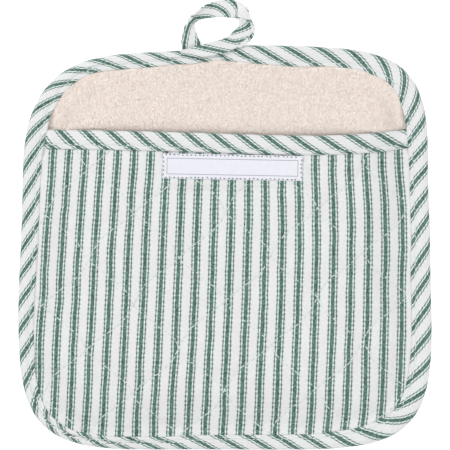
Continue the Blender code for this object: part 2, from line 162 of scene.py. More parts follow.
# Where four of the panel's stripes lie, counted from the left. Columns: height, then the x of
# stripes 0, 7, 14 and 21, in mm from the body's centre.
PANEL_STRIPES = (
    (58.0, -94.6, -31.4, 31.7, 95.8),
    (42.0, -95.5, -32.1, 31.5, 96.5),
    (30.0, -96.4, -32.9, 31.5, 97.5),
    (22.0, -97.0, -33.2, 31.6, 98.1),
    (8.0, -98.4, -33.9, 31.6, 98.5),
    (-8.0, -99.3, -34.6, 31.3, 98.2),
    (-25.0, -100.0, -35.3, 30.9, 97.7),
    (-41.0, -101.4, -36.0, 30.4, 98.0),
    (-58.0, -102.4, -36.8, 29.6, 97.4),
    (-74.0, -102.4, -37.8, 29.0, 96.9),
    (-91.0, -103.5, -38.9, 28.5, 96.0),
    (-98.0, -104.0, -39.3, 28.0, 94.9),
    (-112.0, -104.9, -39.9, 27.2, 93.6),
)
PANEL_STRIPE_NUMBERS = (0, 7, 14, 21)
# Which stripe crosses the edge binding, going clockwise from the top. Columns: way along the
# outline in mm, 4 mm in from the edge, and the stripe's number.
EDGE_STRIPES = (
    (8.2, 0), (23.0, 1), (39.5, 2), (57.9, 3), (74.5, 4), (106.9, 6),
    (122.8, 7), (136.5, 8), (163.3, 10), (191.1, 12), (207.5, 13), (223.2, 14),
    (254.4, 16), (287.5, 18), (304.6, 19), (325.1, 20), (343.0, 21), (358.6, 22),
    (389.8, 24), (421.8, 26), (452.6, 28), (470.6, 29), (482.0, 30), (496.4, 31),
    (510.9, 32), (526.3, 33), (542.3, 34), (573.0, 36), (603.7, 38), (633.2, 40),
    (663.3, 42), (696.3, 44), (727.8, 46), (759.3, 48), (775.3, 49), (790.0, 50),
)
EDGE_STRIPE_COUNT = 52
# How far a stripe runs along the binding for each millimetre across it. Columns: way along the
# outline in mm, and the slant.
EDGE_SLANT = (
    (0, 1.5), (45, 1.75), (80, 1.35), (120, 1.35), (160, 1.05), (210, 1.45), (250, 1.3),
    (285, 1.3), (303, 1.75), (325, 1.6), (345, 1.3), (390, 1.55), (430, 1.6), (452, 1.9),
    (474, 1.9), (484, 1.1), (505, 1.5), (530, 1.1), (560, 1.3), (600, 1.5), (640, 1.6),
    (690, 1.75), (730, 1.75), (765, 1.7), (790, 1.9),
)
# Which stripe crosses the mouth's binding. Columns: x in mm, 5 mm below its fold, and number.
MOUTH_STRIPES = (
    (-111.5, -1), (-80.9, 1), (-51.9, 3), (-23.7, 5), (6.4, 7), (35.5, 9),
    (66.2, 11), (97.1, 13), (128.5, 15),
)
MOUTH_STRIPE_BELOW = 5 * MM
# How far those stripes run along for each millimetre down. Columns: x in mm, and the slant.
MOUTH_SLANT = (
    (-104, 0.8), (-92, 1.15), (-65, 1.2), (-10, 1.33), (45, 1.4), (75, 1.35), (100, 1.3),
)
# How the bias stripes jump where a binding is sewn down, and how much more they slant past it.
EDGE_SEWN = (0.7 * MM, -0.1)
MOUTH_SEWN = (1.0 * MM, 0.25)
SEWN_JUMP_RUN = 0.7 * MM
# How the panel's stripes wander. Columns: size of the wander in mm, its share of a stripe, seed.
STRIPE_WANDER = ((15, 0.018, 23), (6, 0.014, 24))

# ---------------------------------------------------------------- the folded strips

# The edge binding's section, once round from the front leg's inner lip. Columns: share of the
# front leg's width and mm, which add up to the way in from the edge, then share of the front
# leg's lower level and mm, which add up to the height.
EDGE_SECTION = (
    (1, -0.25, 1, 0), (1, 0, 1, 0.26), (1, -0.5, 1, 0.64), (1, -1.3, 1, 0.9),
    (1, -1.85, 1, 0.84), (1, -2.4, 1, 0.55), (1, -2.95, 1, 0.92), (1, -4.1, 1, 1.35),
    (0, 4.0, 1, 1.5), (0, 2.4, 1, 1.25), (0, 1.1, 1, 0.55), (0, 0.3, 1, -0.6),
    (0, 0, 0.5, 0.4), (0, 0.35, 0, 1.1), (0, 1.3, 0, 0.25), (0, 3.0, 0, 0),
    (0, 6.3, 0, 0), (0, 7.1, 0, 0.3), (0, 7.9, 0, 0), (0, 9.1, 0, 0.05),
    (0, 9.5, 0, 0.5), (0, 9.2, 0, 0.95), (0, 3.0, 0, 1.0), (0, 1.5, 0, 1.05),
    (0, 1.15, 0, 1.5), (0, 1.15, 1, -0.4), (0, 1.6, 1, 0), (0, 3.2, 1, 0), (1, -2.4, 1, 0),
)
# The mouth binding's section, once round from the front leg's lip. Columns: mm below the mouth,
# share of the way from the pocket's back to its front, and mm over that.
MOUTH_SECTION = (
    (10.4, 1, -0.78), (10.6, 1, -0.5), (10.1, 1, -0.1), (9.3, 1, 0.12), (8.75, 1, 0.04),
    (8.2, 1, -0.25), (7.65, 1, 0.1), (6.5, 1, 0.42), (5.0, 1, 0.55), (3.0, 1, 0.5),
    (1.3, 1, 0.2), (0.3, 1, -0.6), (0.0, 0.5, 0.0), (0.3, 0, 0.6), (1.3, 0, 0.0),
    (6.36, 0, 0.0), (10.3, 0, 0.05), (10.6, 0, 0.4), (10.3, 0, 0.75), (6.36, 0, 0.8),
    (1.5, 0, 0.85), (1.1, 0, 1.3), (1.1, 1, -1.3), (1.5, 1, -0.85), (6.36, 1, -0.8),
)
# The rows of both sections where the strip is stitched, its stripes are placed and it folds.
STITCH_ROW = 5
STRIPE_ROW = 8
FOLD_ROW = 12
# The puckers that the stitches pull into a binding, and the slow roll along its leg. Each
# binding's own sizes: pucker size, roll size and roll height.
PUCKER_HEIGHT = 0.16 * MM
PUCKER_FADE = 3.2 * MM
PUCKER_REST = 0.4
EDGE_RELIEF = (4.2 * MM, 9 * MM, 0.22 * MM)
MOUTH_RELIEF = (4.0 * MM, 10 * MM, 0.25 * MM)
# Where that shows: on each binding's front, past its rounded edge, and clear of the side seams.
MOUTH_FRONT_RUN = 1.2 * MM
MOUTH_END_MARGIN = 10 * MM
MOUTH_END_RUN = 8 * MM
EDGE_FRONT_SHARES = (0.5, 0.3)
EDGE_ROUND_RUN = 2.0 * MM
# The edge binding's width wanders a little, and a fine bead runs beside its stitches.
EDGE_WIDTH_LUMP_SIZE = 11 * MM
EDGE_WIDTH_LUMPS = 0.3 * MM
EDGE_BEAD_SIZE = 3.0 * MM
EDGE_BEAD_HEIGHT = 0.14 * MM
EDGE_BEAD_PAST = 1.2 * MM
EDGE_BEAD_HALF = 1.1 * MM

LOOP_THICK = 1.9 * MM
# How wide its cloth is when flat, how far a bias thread runs on for each metre, and its creases.
LOOP_FLAT_WIDTH = 11 * MM
LOOP_CLOTH_STEP = 0.7
LOOP_CREASE_SIZE = 3.5 * MM
LOOP_CREASE_REACH = 6 * MM
LOOP_CREASES = 0.22 * MM
# The hanging loop's strip, from where it leaves the edge binding on the left, over the binding's
# front, round the eye and down behind the edge. Columns: its eye side's x, y and z, its outer
# side's x, y and z, in mm from the body's centre, then the stripe's number at each side.
LOOP_STRIP = (
    (-24.6, 109.7, 5.0, -23.5, 105.5, 5.4, -0.50, -1.30),
    (-19.0, 111.1, 6.2, -17.4, 105.7, 6.5, -0.20, -1.00),
    (-13.0, 112.7, 6.9, -10.8, 106.1, 7.2, 0.15, -0.65),
    (-7.4, 114.2, 7.0, -5.2, 107.0, 7.4, 0.50, -0.35),
    (-2.5, 115.6, 6.9, 0.8, 108.6, 7.3, 0.85, 0.00),
    (0.8, 116.7, 6.6, 4.7, 110.1, 7.2, 1.20, 0.30),
    (2.5, 117.7, 6.2, 8.0, 112.2, 6.8, 1.60, 0.65),
    (3.9, 119.3, 5.7, 12.4, 115.5, 6.0, 2.00, 0.95),
    (5.8, 121.3, 5.2, 15.5, 118.5, 5.0, 2.20, 1.30),
    (7.5, 122.9, 5.6, 16.3, 121.8, 3.6, 2.35, 1.60),
    (8.3, 124.8, 6.2, 15.2, 125.1, 2.6, 2.50, 1.90),
    (8.2, 127.1, 6.0, 13.8, 128.2, 2.4, 2.70, 2.10),
    (6.3, 127.8, 4.8, 13.0, 132.0, 2.6, 3.05, 2.35),
    (3.6, 127.9, 3.6, 9.7, 135.6, 2.6, 3.70, 2.60),
    (0.3, 128.2, 3.0, 3.6, 138.0, 2.8, 4.25, 2.95),
    (-4.7, 128.2, 2.9, -3.6, 137.6, 3.0, 4.80, 3.45),
    (-9.7, 127.7, 3.1, -9.7, 135.4, 4.2, 5.10, 3.93),
    (-13.5, 127.0, 2.8, -14.6, 132.0, 6.2, 5.20, 4.40),
    (-16.0, 125.8, 2.4, -17.9, 128.7, 7.0, 5.35, 4.77),
    (-16.8, 123.7, 2.2, -21.0, 124.8, 6.2, 5.50, 4.83),
    (-16.0, 120.7, 2.2, -22.9, 120.7, 4.4, 5.75, 4.71),
    (-14.9, 117.4, 2.4, -23.8, 116.9, 3.0, 5.93, 4.71),
    (-13.6, 114.3, 2.4, -24.0, 113.0, 2.4, 6.10, 4.81),
    (-12.6, 110.9, 2.4, -23.2, 109.7, 2.2, 6.20, 4.90),
)
# The strip's section, with its folded edges. Columns: share of the way from its eye side to its
# outer side, then share of half its thickness.
LOOP_SECTION = (
    (0.0, -0.1), (0.02, 0.6), (0.1, 1.0), (0.2, 0.85), (0.35, 0.75), (0.5, 0.9),
    (0.65, 0.8), (0.8, 0.85), (0.9, 1.0), (0.98, 0.6), (1.0, -0.1), (0.96, -0.7),
    (0.8, -0.95), (0.5, -0.85), (0.2, -0.95), (0.04, -0.7),
)
# The strip's other half, where it laps over the first on the loop's right. Columns: a row of
# LOOP_STRIP, the lap's share of the way across at its eye side and at its outer side, the stripe's
# number at its outer side, and how much that changes over the strip's width.
LOOP_LAP = (
    (5.6, 0.99, 1.03, 2.6, 0.3), (6.0, 0.96, 1.16, 2.5, 0.2), (7.0, 0.92, 1.18, 2.3, 0.5),
    (7.6, 0.92, 1.12, 2.0, 1.0), (8.2, 0.91, 1.07, 1.7, 0.4), (9.0, 0.82, 1.04, 1.4, 0.4),
    (9.9, 0.76, 1.02, 1.02, 1.2), (10.5, 0.5, 1.02, 0.7, 0.2), (11.0, 0.04, 1.02, 0.5, 0.0),
    (11.5, 0.03, 1.02, 0.4, 0.1), (11.9, 0.03, 1.02, 0.1, 1.3), (12.3, 0.2, 1.02, 0.2, 1.1),
    (12.6, 0.35, 1.02, 0.45, 0.1), (13.0, 0.6, 1.02, 0.5, 0.1), (13.5, 0.9, 1.02, 0.5, 0.1),
    (13.8, 0.99, 1.02, 0.5, 0.1),
)
LAP_THICK = 0.5 * MM
LAP_GAP = 0.1 * MM
LAP_EDGE_SHARE = 0.12
LAP_EDGE_HEIGHT = 0.45
# Where the lap turns down over the first strip's outer edge, over what run, and how deeply.
LAP_TURN_START = 0.86
LAP_TURN_RUN = 0.3
LAP_TURN_DEPTH = 1.1
LAP_ROW_STEP = 3.6 * MM
LAP_MOST_CHANGE = 0.45

# ---------------------------------------------------------------- how fine the meshes are

OUTLINE_SAMPLES = 1440
OUTLINE_CHUNK = 240
RING_STATIONS = 900
PANEL_CELLS = (204, 168)
PAD_CELLS = (120, 116)
MOUTH_STATIONS = 260
LOOP_STATIONS = 230
LOOP_ROW_STEPS = 16
LAP_CELLS = (130, 15)
LABEL_PLACES = (121, 25)
PILE_GRID = (110, 44)
SPLINE_STEPS = 3
NOISE_CELLS = 64

# ---------------------------------------------------------------- small helpers


def smoothstep(value):
    """Ease from 0 to 1 as value goes from 0 to 1."""
    share = np.clip(value, 0.0, 1.0)
    return share * share * (3.0 - 2.0 * share)


def ramp(value, start, run):
    """Ease from 0 to 1 over a run that begins at start."""
    return smoothstep((value - start) / run)


def bump(value, width):
    """Give 1 at 0, easing to 0 at plus and minus width."""
    return 1.0 - smoothstep(np.abs(value) / width)


def soft_noise(x, y, size, seed):
    """Give smooth noise from -1 to 1 with lumps of about the given size, a seed's own each time."""
    table = np.random.default_rng(seed).uniform(-1.0, 1.0, (NOISE_CELLS, NOISE_CELLS))
    across = np.asarray(x, dtype=float) / size
    up = np.asarray(y, dtype=float) / size
    column = np.floor(across).astype(int)
    row = np.floor(up).astype(int)
    u = smoothstep(across - column)
    v = smoothstep(up - row)
    levels = []
    for j in (0, 1):
        left, right = (table[(row + j) % NOISE_CELLS, (column + i) % NOISE_CELLS] for i in (0, 1))
        levels.append(left * (1 - u) + right * u)
    return levels[0] * (1 - v) + levels[1] * v


def read_round_table(table, degrees):
    """Read a table of (angle, value) rows that closes on itself, eased between its rows."""
    first_angle, first_value = table[0]
    rows = list(table) + [(first_angle + 360, first_value)]
    wanted = (np.asarray(degrees, dtype=float) - first_angle) % 360 + first_angle
    result = np.zeros_like(wanted)
    for (angle, value), (next_angle, next_value) in zip(rows, rows[1:]):
        here = (wanted >= angle) & (wanted <= next_angle)
        share = smoothstep((wanted - angle) / (next_angle - angle))
        result = np.where(here, value + (next_value - value) * share, result)
    return result


def round_lines(points, steps, closed):
    """Run a smooth line through points, which lie along axis 1, with steps places to a span."""
    if closed:
        before, here, after, beyond = (np.roll(points, shift, axis=1) for shift in (1, 0, -1, -2))
    else:
        first = 2 * points[:, :1] - points[:, 1:2]
        last = 2 * points[:, -1:] - points[:, -2:-1]
        padded = np.concatenate([first, points, last], axis=1)
        spans = points.shape[1] - 1
        before, here, after, beyond = (padded[:, i : i + spans] for i in range(4))
    bend = 2 * before - 5 * here + 4 * after - beyond
    twist = 3 * here - before - 3 * after + beyond
    rows = []
    for i in range(steps):
        t = i / steps
        rows.append(0.5 * (2 * here + (after - before) * t + bend * t**2 + twist * t**3))
    smooth = np.stack(rows, axis=2).reshape(points.shape[0], -1, points.shape[2])
    return smooth if closed else np.concatenate([smooth, points[:, -1:]], axis=1)


def way_along(points, axis=0):
    """Give the way along lines of places, from 0 at the first."""
    steps = np.linalg.norm(np.diff(points, axis=axis), axis=-1)
    return np.insert(np.cumsum(steps, axis=axis), 0, 0.0, axis=axis)


def read_line(wanted, way, line):
    """Give a line's columns at the wanted ways along it."""
    return np.stack([np.interp(wanted, way, column) for column in line.T], axis=1)


def set_all(thing, **values):
    """Set several of a thing's own settings."""
    for name, value in values.items():
        setattr(thing, name, value)


# ---------------------------------------------------------------- the outline and its levels


def outline_places(degrees):
    """Give places of the bound edge, at angles seen from the body's centre."""
    across = np.cos(np.radians(degrees))
    up = np.sin(np.radians(degrees))
    power = CORNER_POWER[(up >= 0).astype(int), (across >= 0).astype(int)]
    fullness = np.abs(across / HALF_WIDTH) ** power + np.abs(up / HALF_HEIGHT) ** power
    radius = fullness ** (-1.0 / power) + read_round_table(EDGE_WANDER, degrees) * MM
    return np.stack([radius * across, radius * up], axis=1)


OUTLINE = outline_places(np.arange(OUTLINE_SAMPLES) * 360.0 / OUTLINE_SAMPLES)
OUTLINE_WAY = np.roll(OUTLINE, -1, axis=0) - np.roll(OUTLINE, 1, axis=0)
NORMALS = np.stack([OUTLINE_WAY[:, 1], -OUTLINE_WAY[:, 0]], axis=1)
NORMALS /= np.linalg.norm(NORMALS, axis=1, keepdims=True)
PRESSED_EDGE = OUTLINE - NORMALS * EDGE_INSET


def clockwise_stations():
    """Give places, outward directions and ways along, evenly spaced clockwise from the top."""
    order = (OUTLINE_SAMPLES // 4 - np.arange(OUTLINE_SAMPLES + 1)) % OUTLINE_SAMPLES
    way = way_along(OUTLINE[order])
    wanted = np.linspace(0.0, way[-1], RING_STATIONS + 1)
    normals = read_line(wanted, way, NORMALS[order])
    normals /= np.linalg.norm(normals, axis=1, keepdims=True)
    return read_line(wanted, way, OUTLINE[order]), normals, wanted


def depth_in(x, y):
    """Give how far places lie inside the bound edge, below zero outside it."""
    places = np.stack([np.ravel(x), np.ravel(y)], axis=1)
    rows = np.arange(len(places))
    nearest = np.full(len(places), np.inf)
    outward = np.zeros(len(places))
    for start in range(0, OUTLINE_SAMPLES, OUTLINE_CHUNK):
        steps = places[:, None, :] - OUTLINE[None, start : start + OUTLINE_CHUNK, :]
        away = (steps**2).sum(axis=2)
        closest = away.argmin(axis=1)
        side = (steps[rows, closest] * NORMALS[start + closest]).sum(axis=1)
        closer = away[rows, closest] < nearest
        nearest = np.where(closer, away[rows, closest], nearest)
        outward = np.where(closer, side, outward)
    return (np.sqrt(nearest) * np.where(outward > 0, -1.0, 1.0)).reshape(np.shape(x))


def binding_width(x, y):
    """Give the edge binding's width on the front, beside the given places."""
    return read_round_table(BINDING_WIDTH, np.degrees(np.arctan2(y, x))) * MM


def mouth_line(x):
    """Give the height of the pocket's mouth at x."""
    share = x / (HALF_WIDTH - EDGE_INSET)
    return sum(height * MM * share**power for power, height in enumerate(MOUTH_CURVE))


def quilt_wave(along, period, start, height):
    """Give how far a quilting line waves aside at a way along it."""
    turn = 2 * math.pi * (along - start * MM) / (period * MM)
    return height * MM * (np.sin(turn) + QUILT_SKEW * np.sin(2 * turn))


def quilt_distance(x, y):
    """Give how far places lie from the nearest line of each quilting set."""
    found = []
    for sign, offset, spacing, *wave in QUILT_LINES:
        phase = (x + sign * y - offset * MM + quilt_wave(x - sign * y, *wave)) / (spacing * MM)
        found.append(np.abs(phase - np.round(phase)) * spacing * MM / math.sqrt(2.0))
    return found


def quilt_puff(x, y):
    """Give 1 between the quilting lines and 0 on them."""
    puff = 1.0
    for distance, row in zip(quilt_distance(x, y), QUILT_LINES):
        full = row[2] * MM / math.sqrt(2.0)
        puff = puff * np.sin(math.pi * distance / full) ** PUFF_ROUNDNESS
    return puff


def layers(x, y):
    """Give how far in places lie, and the levels of the layers that lie over each other there."""
    here = SimpleNamespace(depth=depth_in(x, y), width=binding_width(x, y))
    here.inside = here.depth - here.width
    mouth = mouth_line(x)
    below = mouth - y
    # The pad's front, and its terry, which swells in front of the mouth.
    inside = here.inside - PAD_RISE_MARGIN
    crown = PAD_EDGE_LEVEL + (PAD_CROWN - PAD_EDGE_LEVEL) * smoothstep(inside / CROWN_RUN)
    rise = ramp(-below, *TERRY_RISE) * (1.0 - ramp(-below, *TERRY_FALL))
    swelling = TERRY_SWELLING * rise * smoothstep(inside / TERRY_SIDE_RUN)
    lumps = soft_noise(x, y, TERRY_LUMP_SIZE, 11) * TERRY_LUMPS
    lumps = lumps * smoothstep(inside / TERRY_LUMP_SIDE_RUN)
    here.terry = crown + swelling + lumps
    # Where the mouth's binding and the label keep the panel from being quilted.
    under_binding = below - MOUTH_BINDING_WIDTH - MOUTH_BAND_MARGIN
    here.band = 1.0 - smoothstep(under_binding / MOUTH_BAND_RUN)
    off_label = np.maximum(
        np.abs(x - LABEL_CENTRE[0]) - LABEL_SIZE[0] / 2, np.abs(y - LABEL_CENTRE[1]) - LABEL_SIZE[1] / 2
    )
    here.quiet = np.maximum(here.band, 1.0 - smoothstep(off_label / LABEL_MARGIN))
    # The pocket's back, which is the top of the hand's hollow, and its front.
    inside = here.inside - POCKET_RISE_MARGIN
    up_share = np.clip((y + HALF_HEIGHT) / (mouth + HALF_HEIGHT), 0.0, 1.0)
    open_share = HOLLOW_FLOOR_SHARE + (1.0 - HOLLOW_FLOOR_SHARE) * up_share**HOLLOW_RISE
    hollow = HOLLOW_HEIGHT * open_share * smoothstep(inside / HOLLOW_SIDE_RUN)
    release = SEAM_RELEASE * smoothstep(inside / SEAM_RELEASE_RUN)
    here.pocket_back = crown + PIECE_GAP + hollow + release
    seam_share = 1.0 - smoothstep(under_binding / MOUTH_SEAM_RUN)
    seam = POCKET_SEAM_THICK + (MOUTH_SEAM_THICK - POCKET_SEAM_THICK) * seam_share
    full = POCKET_THICK - seam - QUILT_DEPTH * (1.0 - here.quiet)
    here.pocket_front = here.pocket_back + seam + full * smoothstep(inside / CROWN_RUN)
    # The quilted panel, which lies between the legs of the mouth's binding.
    leg = (MOUTH_LEG_THICK + PIECE_GAP) * here.band
    here.panel_back = here.pocket_back + leg
    here.panel_front = here.pocket_front - leg
    # The underside of the edge binding's front leg.
    pocket_share = 1.0 - smoothstep((-below - COVER_MARGIN) / COVER_RUN)
    here.cover = PAD_EDGE_LEVEL + PIECE_GAP + (seam + PIECE_GAP) * pocket_share
    return here


def panel_stripe(x, y):
    """Give the number of the stripe at places on the pocket panel."""
    table = round_lines(np.array(PANEL_STRIPES)[None, ::-1], 6, False)[0] * MM
    knots = [np.interp(y, table[:, 0], table[:, 1 + i]) for i in range(4)]
    number = np.zeros(np.shape(x))
    for i, mine in enumerate(PANEL_STRIPE_NUMBERS):
        part = np.full(np.shape(x), float(mine))
        for j in range(4):
            if j != i:
                part = part * (x - knots[j]) / (knots[i] - knots[j])
        number = number + part
    return number


# ---------------------------------------------------------------- making meshes


def lattice(rows, columns):
    """Give the corner numbers of the quads of a lattice, rows by columns of places."""
    index = np.arange(rows * columns).reshape(rows, columns)
    corners = (index[:-1, :-1], index[:-1, 1:], index[1:, 1:], index[1:, :-1])
    return np.stack([corner.ravel() for corner in corners], axis=1)


def new_mesh(name, verts, faces):
    """Make a mesh from places and the corner numbers of its faces."""
    mesh = bpy.data.meshes.new(name)
    mesh.from_pydata(np.reshape(verts, (-1, 3)).tolist(), [], faces)
    return mesh


def face_outward(mesh):
    """Turn the faces of a closed mesh outward."""
    bm = bmesh.new()
    bm.from_mesh(mesh)
    bmesh.ops.recalc_face_normals(bm, faces=bm.faces)
    bm.to_mesh(mesh)
    bm.free()


def show(name, data):
    """Put a mesh, a lamp or a camera in the scene as an object."""
    thing = bpy.data.objects.new(name, data)
    bpy.context.scene.collection.objects.link(thing)
    return thing


def finish_piece(name, verts, faces, cloth, materials, face_material=0):
    """Turn places round the body's centre into a named piece.

    cloth holds a face corner's place on the flat cloth: the stripe's number and metres along it.
    """
    mesh = new_mesh(name, verts + np.append(BODY_CENTRE, 0.0), faces.tolist())
    layer = mesh.uv_layers.new(name="cloth")
    layer.data.foreach_set("uv", cloth.astype(np.float32).ravel())
    for material in materials:
        mesh.materials.append(material)
    kinds = np.broadcast_to(face_material, len(faces)).astype(np.int32)
    mesh.polygons.foreach_set("material_index", kinds)
    face_outward(mesh)
    mesh.shade_smooth()
    mesh.update()
    return show(name, mesh)


def loft(name, rings, cloth, closed, material):
    """Skin rings of places into one closed strip, as a hoop or with a cap at each end."""
    stations, around = rings.shape[:2]
    corners = lattice(stations + (1 if closed else 0), around + 1)
    faces = (corners // (around + 1)) % stations * around + (corners % (around + 1)) % around
    flat = cloth.reshape(-1, 2)[corners]
    if not closed:
        for end in (0, stations - 1):
            i = np.arange(around // 2 - 1)
            cap = np.stack([i, i + 1, around - 2 - i, around - 1 - i], axis=1)
            faces = np.concatenate([faces, cap + end * around])
            flat = np.concatenate([flat, cloth[end][cap]])
    return finish_piece(name, rings.reshape(-1, 3), faces, flat, [material])


def slab(name, front, back, cloth, materials):
    """Close a front and a back lattice of places into one body. The last material is its back's."""
    rows, columns = front.shape[:2]
    count = rows * columns
    quads = lattice(rows, columns)
    across = np.arange(columns - 1)
    up = np.arange(rows - 1)
    rim = (across, up * columns + columns - 1, count - 1 - across, (rows - 1 - up) * columns)
    rim = np.concatenate(rim)
    after = np.roll(rim, -1)
    wall = np.stack([rim, after, after + count, rim + count], axis=1)
    faces = np.concatenate([quads, quads[:, ::-1] + count, wall])
    flat = np.tile(cloth.reshape(-1, 2), (2, 1))[faces]
    flat[-len(wall) :, 2:] = flat[-len(wall) :, 1::-1]
    kinds = np.zeros(len(faces), dtype=int)
    kinds[len(quads) : 2 * len(quads)] = len(materials) - 1
    verts = np.concatenate([front.reshape(-1, 3), back.reshape(-1, 3)])
    return finish_piece(name, verts, faces, flat, materials, kinds)


def crowded_levels(count, crowding=0.4):
    """Give count + 1 levels from 0 to 1 that lie closer together at both ends."""
    even = np.linspace(0.0, 1.0, count + 1)
    crowded = 0.5 - 0.5 * np.cos(math.pi * even)
    return even + (crowded - even) * crowding


def edge_stretch(start_degrees, end_degrees):
    """Give the stretch of the pressed edge between two angles, in the order asked for."""
    start, end = (round(angle * OUTLINE_SAMPLES / 360.0) for angle in (start_degrees, end_degrees))
    step = 1 if end > start else -1
    return PRESSED_EDGE[np.arange(start, end + step, step) % OUTLINE_SAMPLES]


def cloth_grid(cells, mouth=None):
    """Give the x and y of a grid inside the pressed edge, up to its top or to the mouth."""
    left = edge_stretch(225, 135)
    right = edge_stretch(315, 405)
    top = edge_stretch(135, 45)
    if mouth is not None:
        left = np.vstack([left[left[:, 1] < mouth[0, 1]], mouth[0]])
        right = np.vstack([right[right[:, 1] < mouth[-1, 1]], mouth[-1]])
        top = mouth
    across, up = (crowded_levels(count) for count in cells)
    lines = []
    for line, levels in ((edge_stretch(225, 315), across), (top, across), (left, up), (right, up)):
        way = way_along(line)
        lines.append(read_line(levels, way / way[-1], line))
    bottom, top, left, right = lines
    u = across[None, :, None]
    v = up[:, None, None]
    ruled_up = (1 - v) * bottom[None, :, :] + v * top[None, :, :]
    ruled_across = (1 - u) * left[:, None, :] + u * right[:, None, :]
    low = (1 - u) * bottom[0] + u * bottom[-1]
    high = (1 - u) * top[0] + u * top[-1]
    return np.moveaxis(ruled_up + ruled_across - ((1 - v) * low + v * high), 2, 0)


# ---------------------------------------------------------------- nodes and materials


class NodeSheet:
    """A node tree with short calls for the nodes that the cloths are built from."""

    def __init__(self, tree):
        """Start on a tree."""
        self.tree = tree

    def node(self, kind, feeds, **settings):
        """Add a node, set what it is told, feed its inputs and give its outputs."""
        made = self.tree.nodes.new(kind)
        set_all(made, **settings)
        for socket, value in feeds.items():
            self.feed(made.inputs[socket], value)
        return made.outputs

    def feed(self, socket, value):
        """Join a socket to an output, or give it a constant."""
        if isinstance(value, bpy.types.NodeSocket):
            self.tree.links.new(value, socket)
        else:
            socket.default_value = value

    def math(self, operation, *values, clamp=False):
        """Work out a number."""
        feeds = dict(enumerate(values))
        return self.node("ShaderNodeMath", feeds, operation=operation, use_clamp=clamp)[0]

    def ease(self, *values):
        """Ease a number from one range to another, which is 0 to 1 unless it is given."""
        feeds = dict(enumerate(values))
        return self.node("ShaderNodeMapRange", feeds, interpolation_type="SMOOTHSTEP")["Result"]

    def mix(self, share, first, second):
        """Mix two colours."""
        feeds = {0: share, 6: first, 7: second}
        return self.node("ShaderNodeMix", feeds, data_type="RGBA", clamp_factor=True)[2]

    def wave(self, value, repeat):
        """Give a sine of a length, from -1 to 1, with the given repeat."""
        return self.math("SINE", self.math("MULTIPLY", value, 2 * math.pi / repeat))


def set_inputs(node, values):
    """Set a node's inputs by name."""
    for socket, value in values.items():
        node.inputs[socket].default_value = value


class Finish(NodeSheet):
    """A cloth's or a thread's material, with its place on the object and its fine relief."""

    def __init__(self, name, roughness, sheen):
        """Start the material."""
        self.material = bpy.data.materials.new(name)
        self.material.use_nodes = True
        super().__init__(self.material.node_tree)
        self.shader = self.tree.nodes["Principled BSDF"]
        set_inputs(self.shader, {"Roughness": roughness, "Specular IOR Level": 0.2})
        set_inputs(self.shader, {"Sheen Weight": sheen, "Sheen Roughness": 0.6})
        self.place = self.node("ShaderNodeTexCoord", {})["Object"]

    def noise(self, scale, detail=2.0, roughness=0.5):
        """Give noise from 0 to 1."""
        feeds = {"Vector": self.place, "Scale": scale, "Detail": detail, "Roughness": roughness}
        return self.node("ShaderNodeTexNoise", feeds)["Fac"]

    def split(self, vector):
        """Give a vector's first two numbers."""
        parts = self.node("ShaderNodeSeparateXYZ", {0: vector})
        return parts["X"], parts["Y"]

    def on_cloth(self):
        """Give the place on the flat cloth."""
        return self.split(self.node("ShaderNodeUVMap", {}, uv_map="cloth")["UV"])

    def finish(self, base, height, strength, distance):
        """Give the cloth its colour and its relief, and give its material."""
        self.feed(self.shader.inputs["Base Color"], base)
        feeds = {"Strength": strength, "Distance": distance, "Height": height}
        relief = self.node("ShaderNodeBump", feeds)
        self.feed(self.shader.inputs["Normal"], relief["Normal"])
        return self.material


def colour(red, green, blue):
    """Turn an 8-bit display colour into a linear one."""
    parts = []
    for part in (red, green, blue):
        share = part / 255.0
        parts.append(share / 12.92 if share <= 0.04045 else ((share + 0.055) / 1.055) ** 2.4)
    return (*parts, 1.0)


COTTON_WHITES = (colour(242, 244, 243), colour(242, 239, 240))
# Painted light: the bias strips' whites are a little paler than the panel's, to make up for the light
# that their sloping, rounded sides lose.
BIAS_WHITES_PAINTED_LIGHTER = (colour(243, 246, 245), colour(245, 242, 243))
SHADED_COTTON = colour(222, 220, 223)
MINT_GAP = colour(244, 255, 252)
MINT_DASH = colour(172, 198, 188)
GREEN_DEEP = colour(58, 90, 80)
GREEN_SOFT = colour(118, 150, 139)
GREY_LINE = colour(58, 66, 67)

BAND_HALF = 1.05 * MM
BIAS_BAND_HALF = 1.08 * MM
BAND_SOFT = 0.1 * MM
LINE_PLACE = 2.05 * MM
LINE_HALF = 0.34 * MM
GAP_REACH = 2.5 * MM
GAP_SOFT = 0.6 * MM
DASH_REPEAT = 2.58 * MM
DASH_DRIFT = 0.1
THREAD_REPEAT = 0.52 * MM
# How far a stripe's sides fray and waver, and how its picks wander and bite into it.
FRAY = 0.5 * MM
WAVER = 0.15 * MM
PICK_WANDER = 1.6 * MM
PICK_BITE = (0.14 * MM, -0.05 * MM)
# How deep each finish's relief is, and the repeats of the label's floats and the thread's twist.
TICKING_RELIEF = 0.14 * MM
LINING_RELIEF = 0.12 * MM
TERRY_RELIEF = 0.3 * MM
THREAD_RELIEF = 0.08 * MM
FLOAT_REPEAT = 0.3 * MM
FLOAT_ROW_REPEAT = 0.9 * MM
TWIST_REPEAT = 0.35 * MM


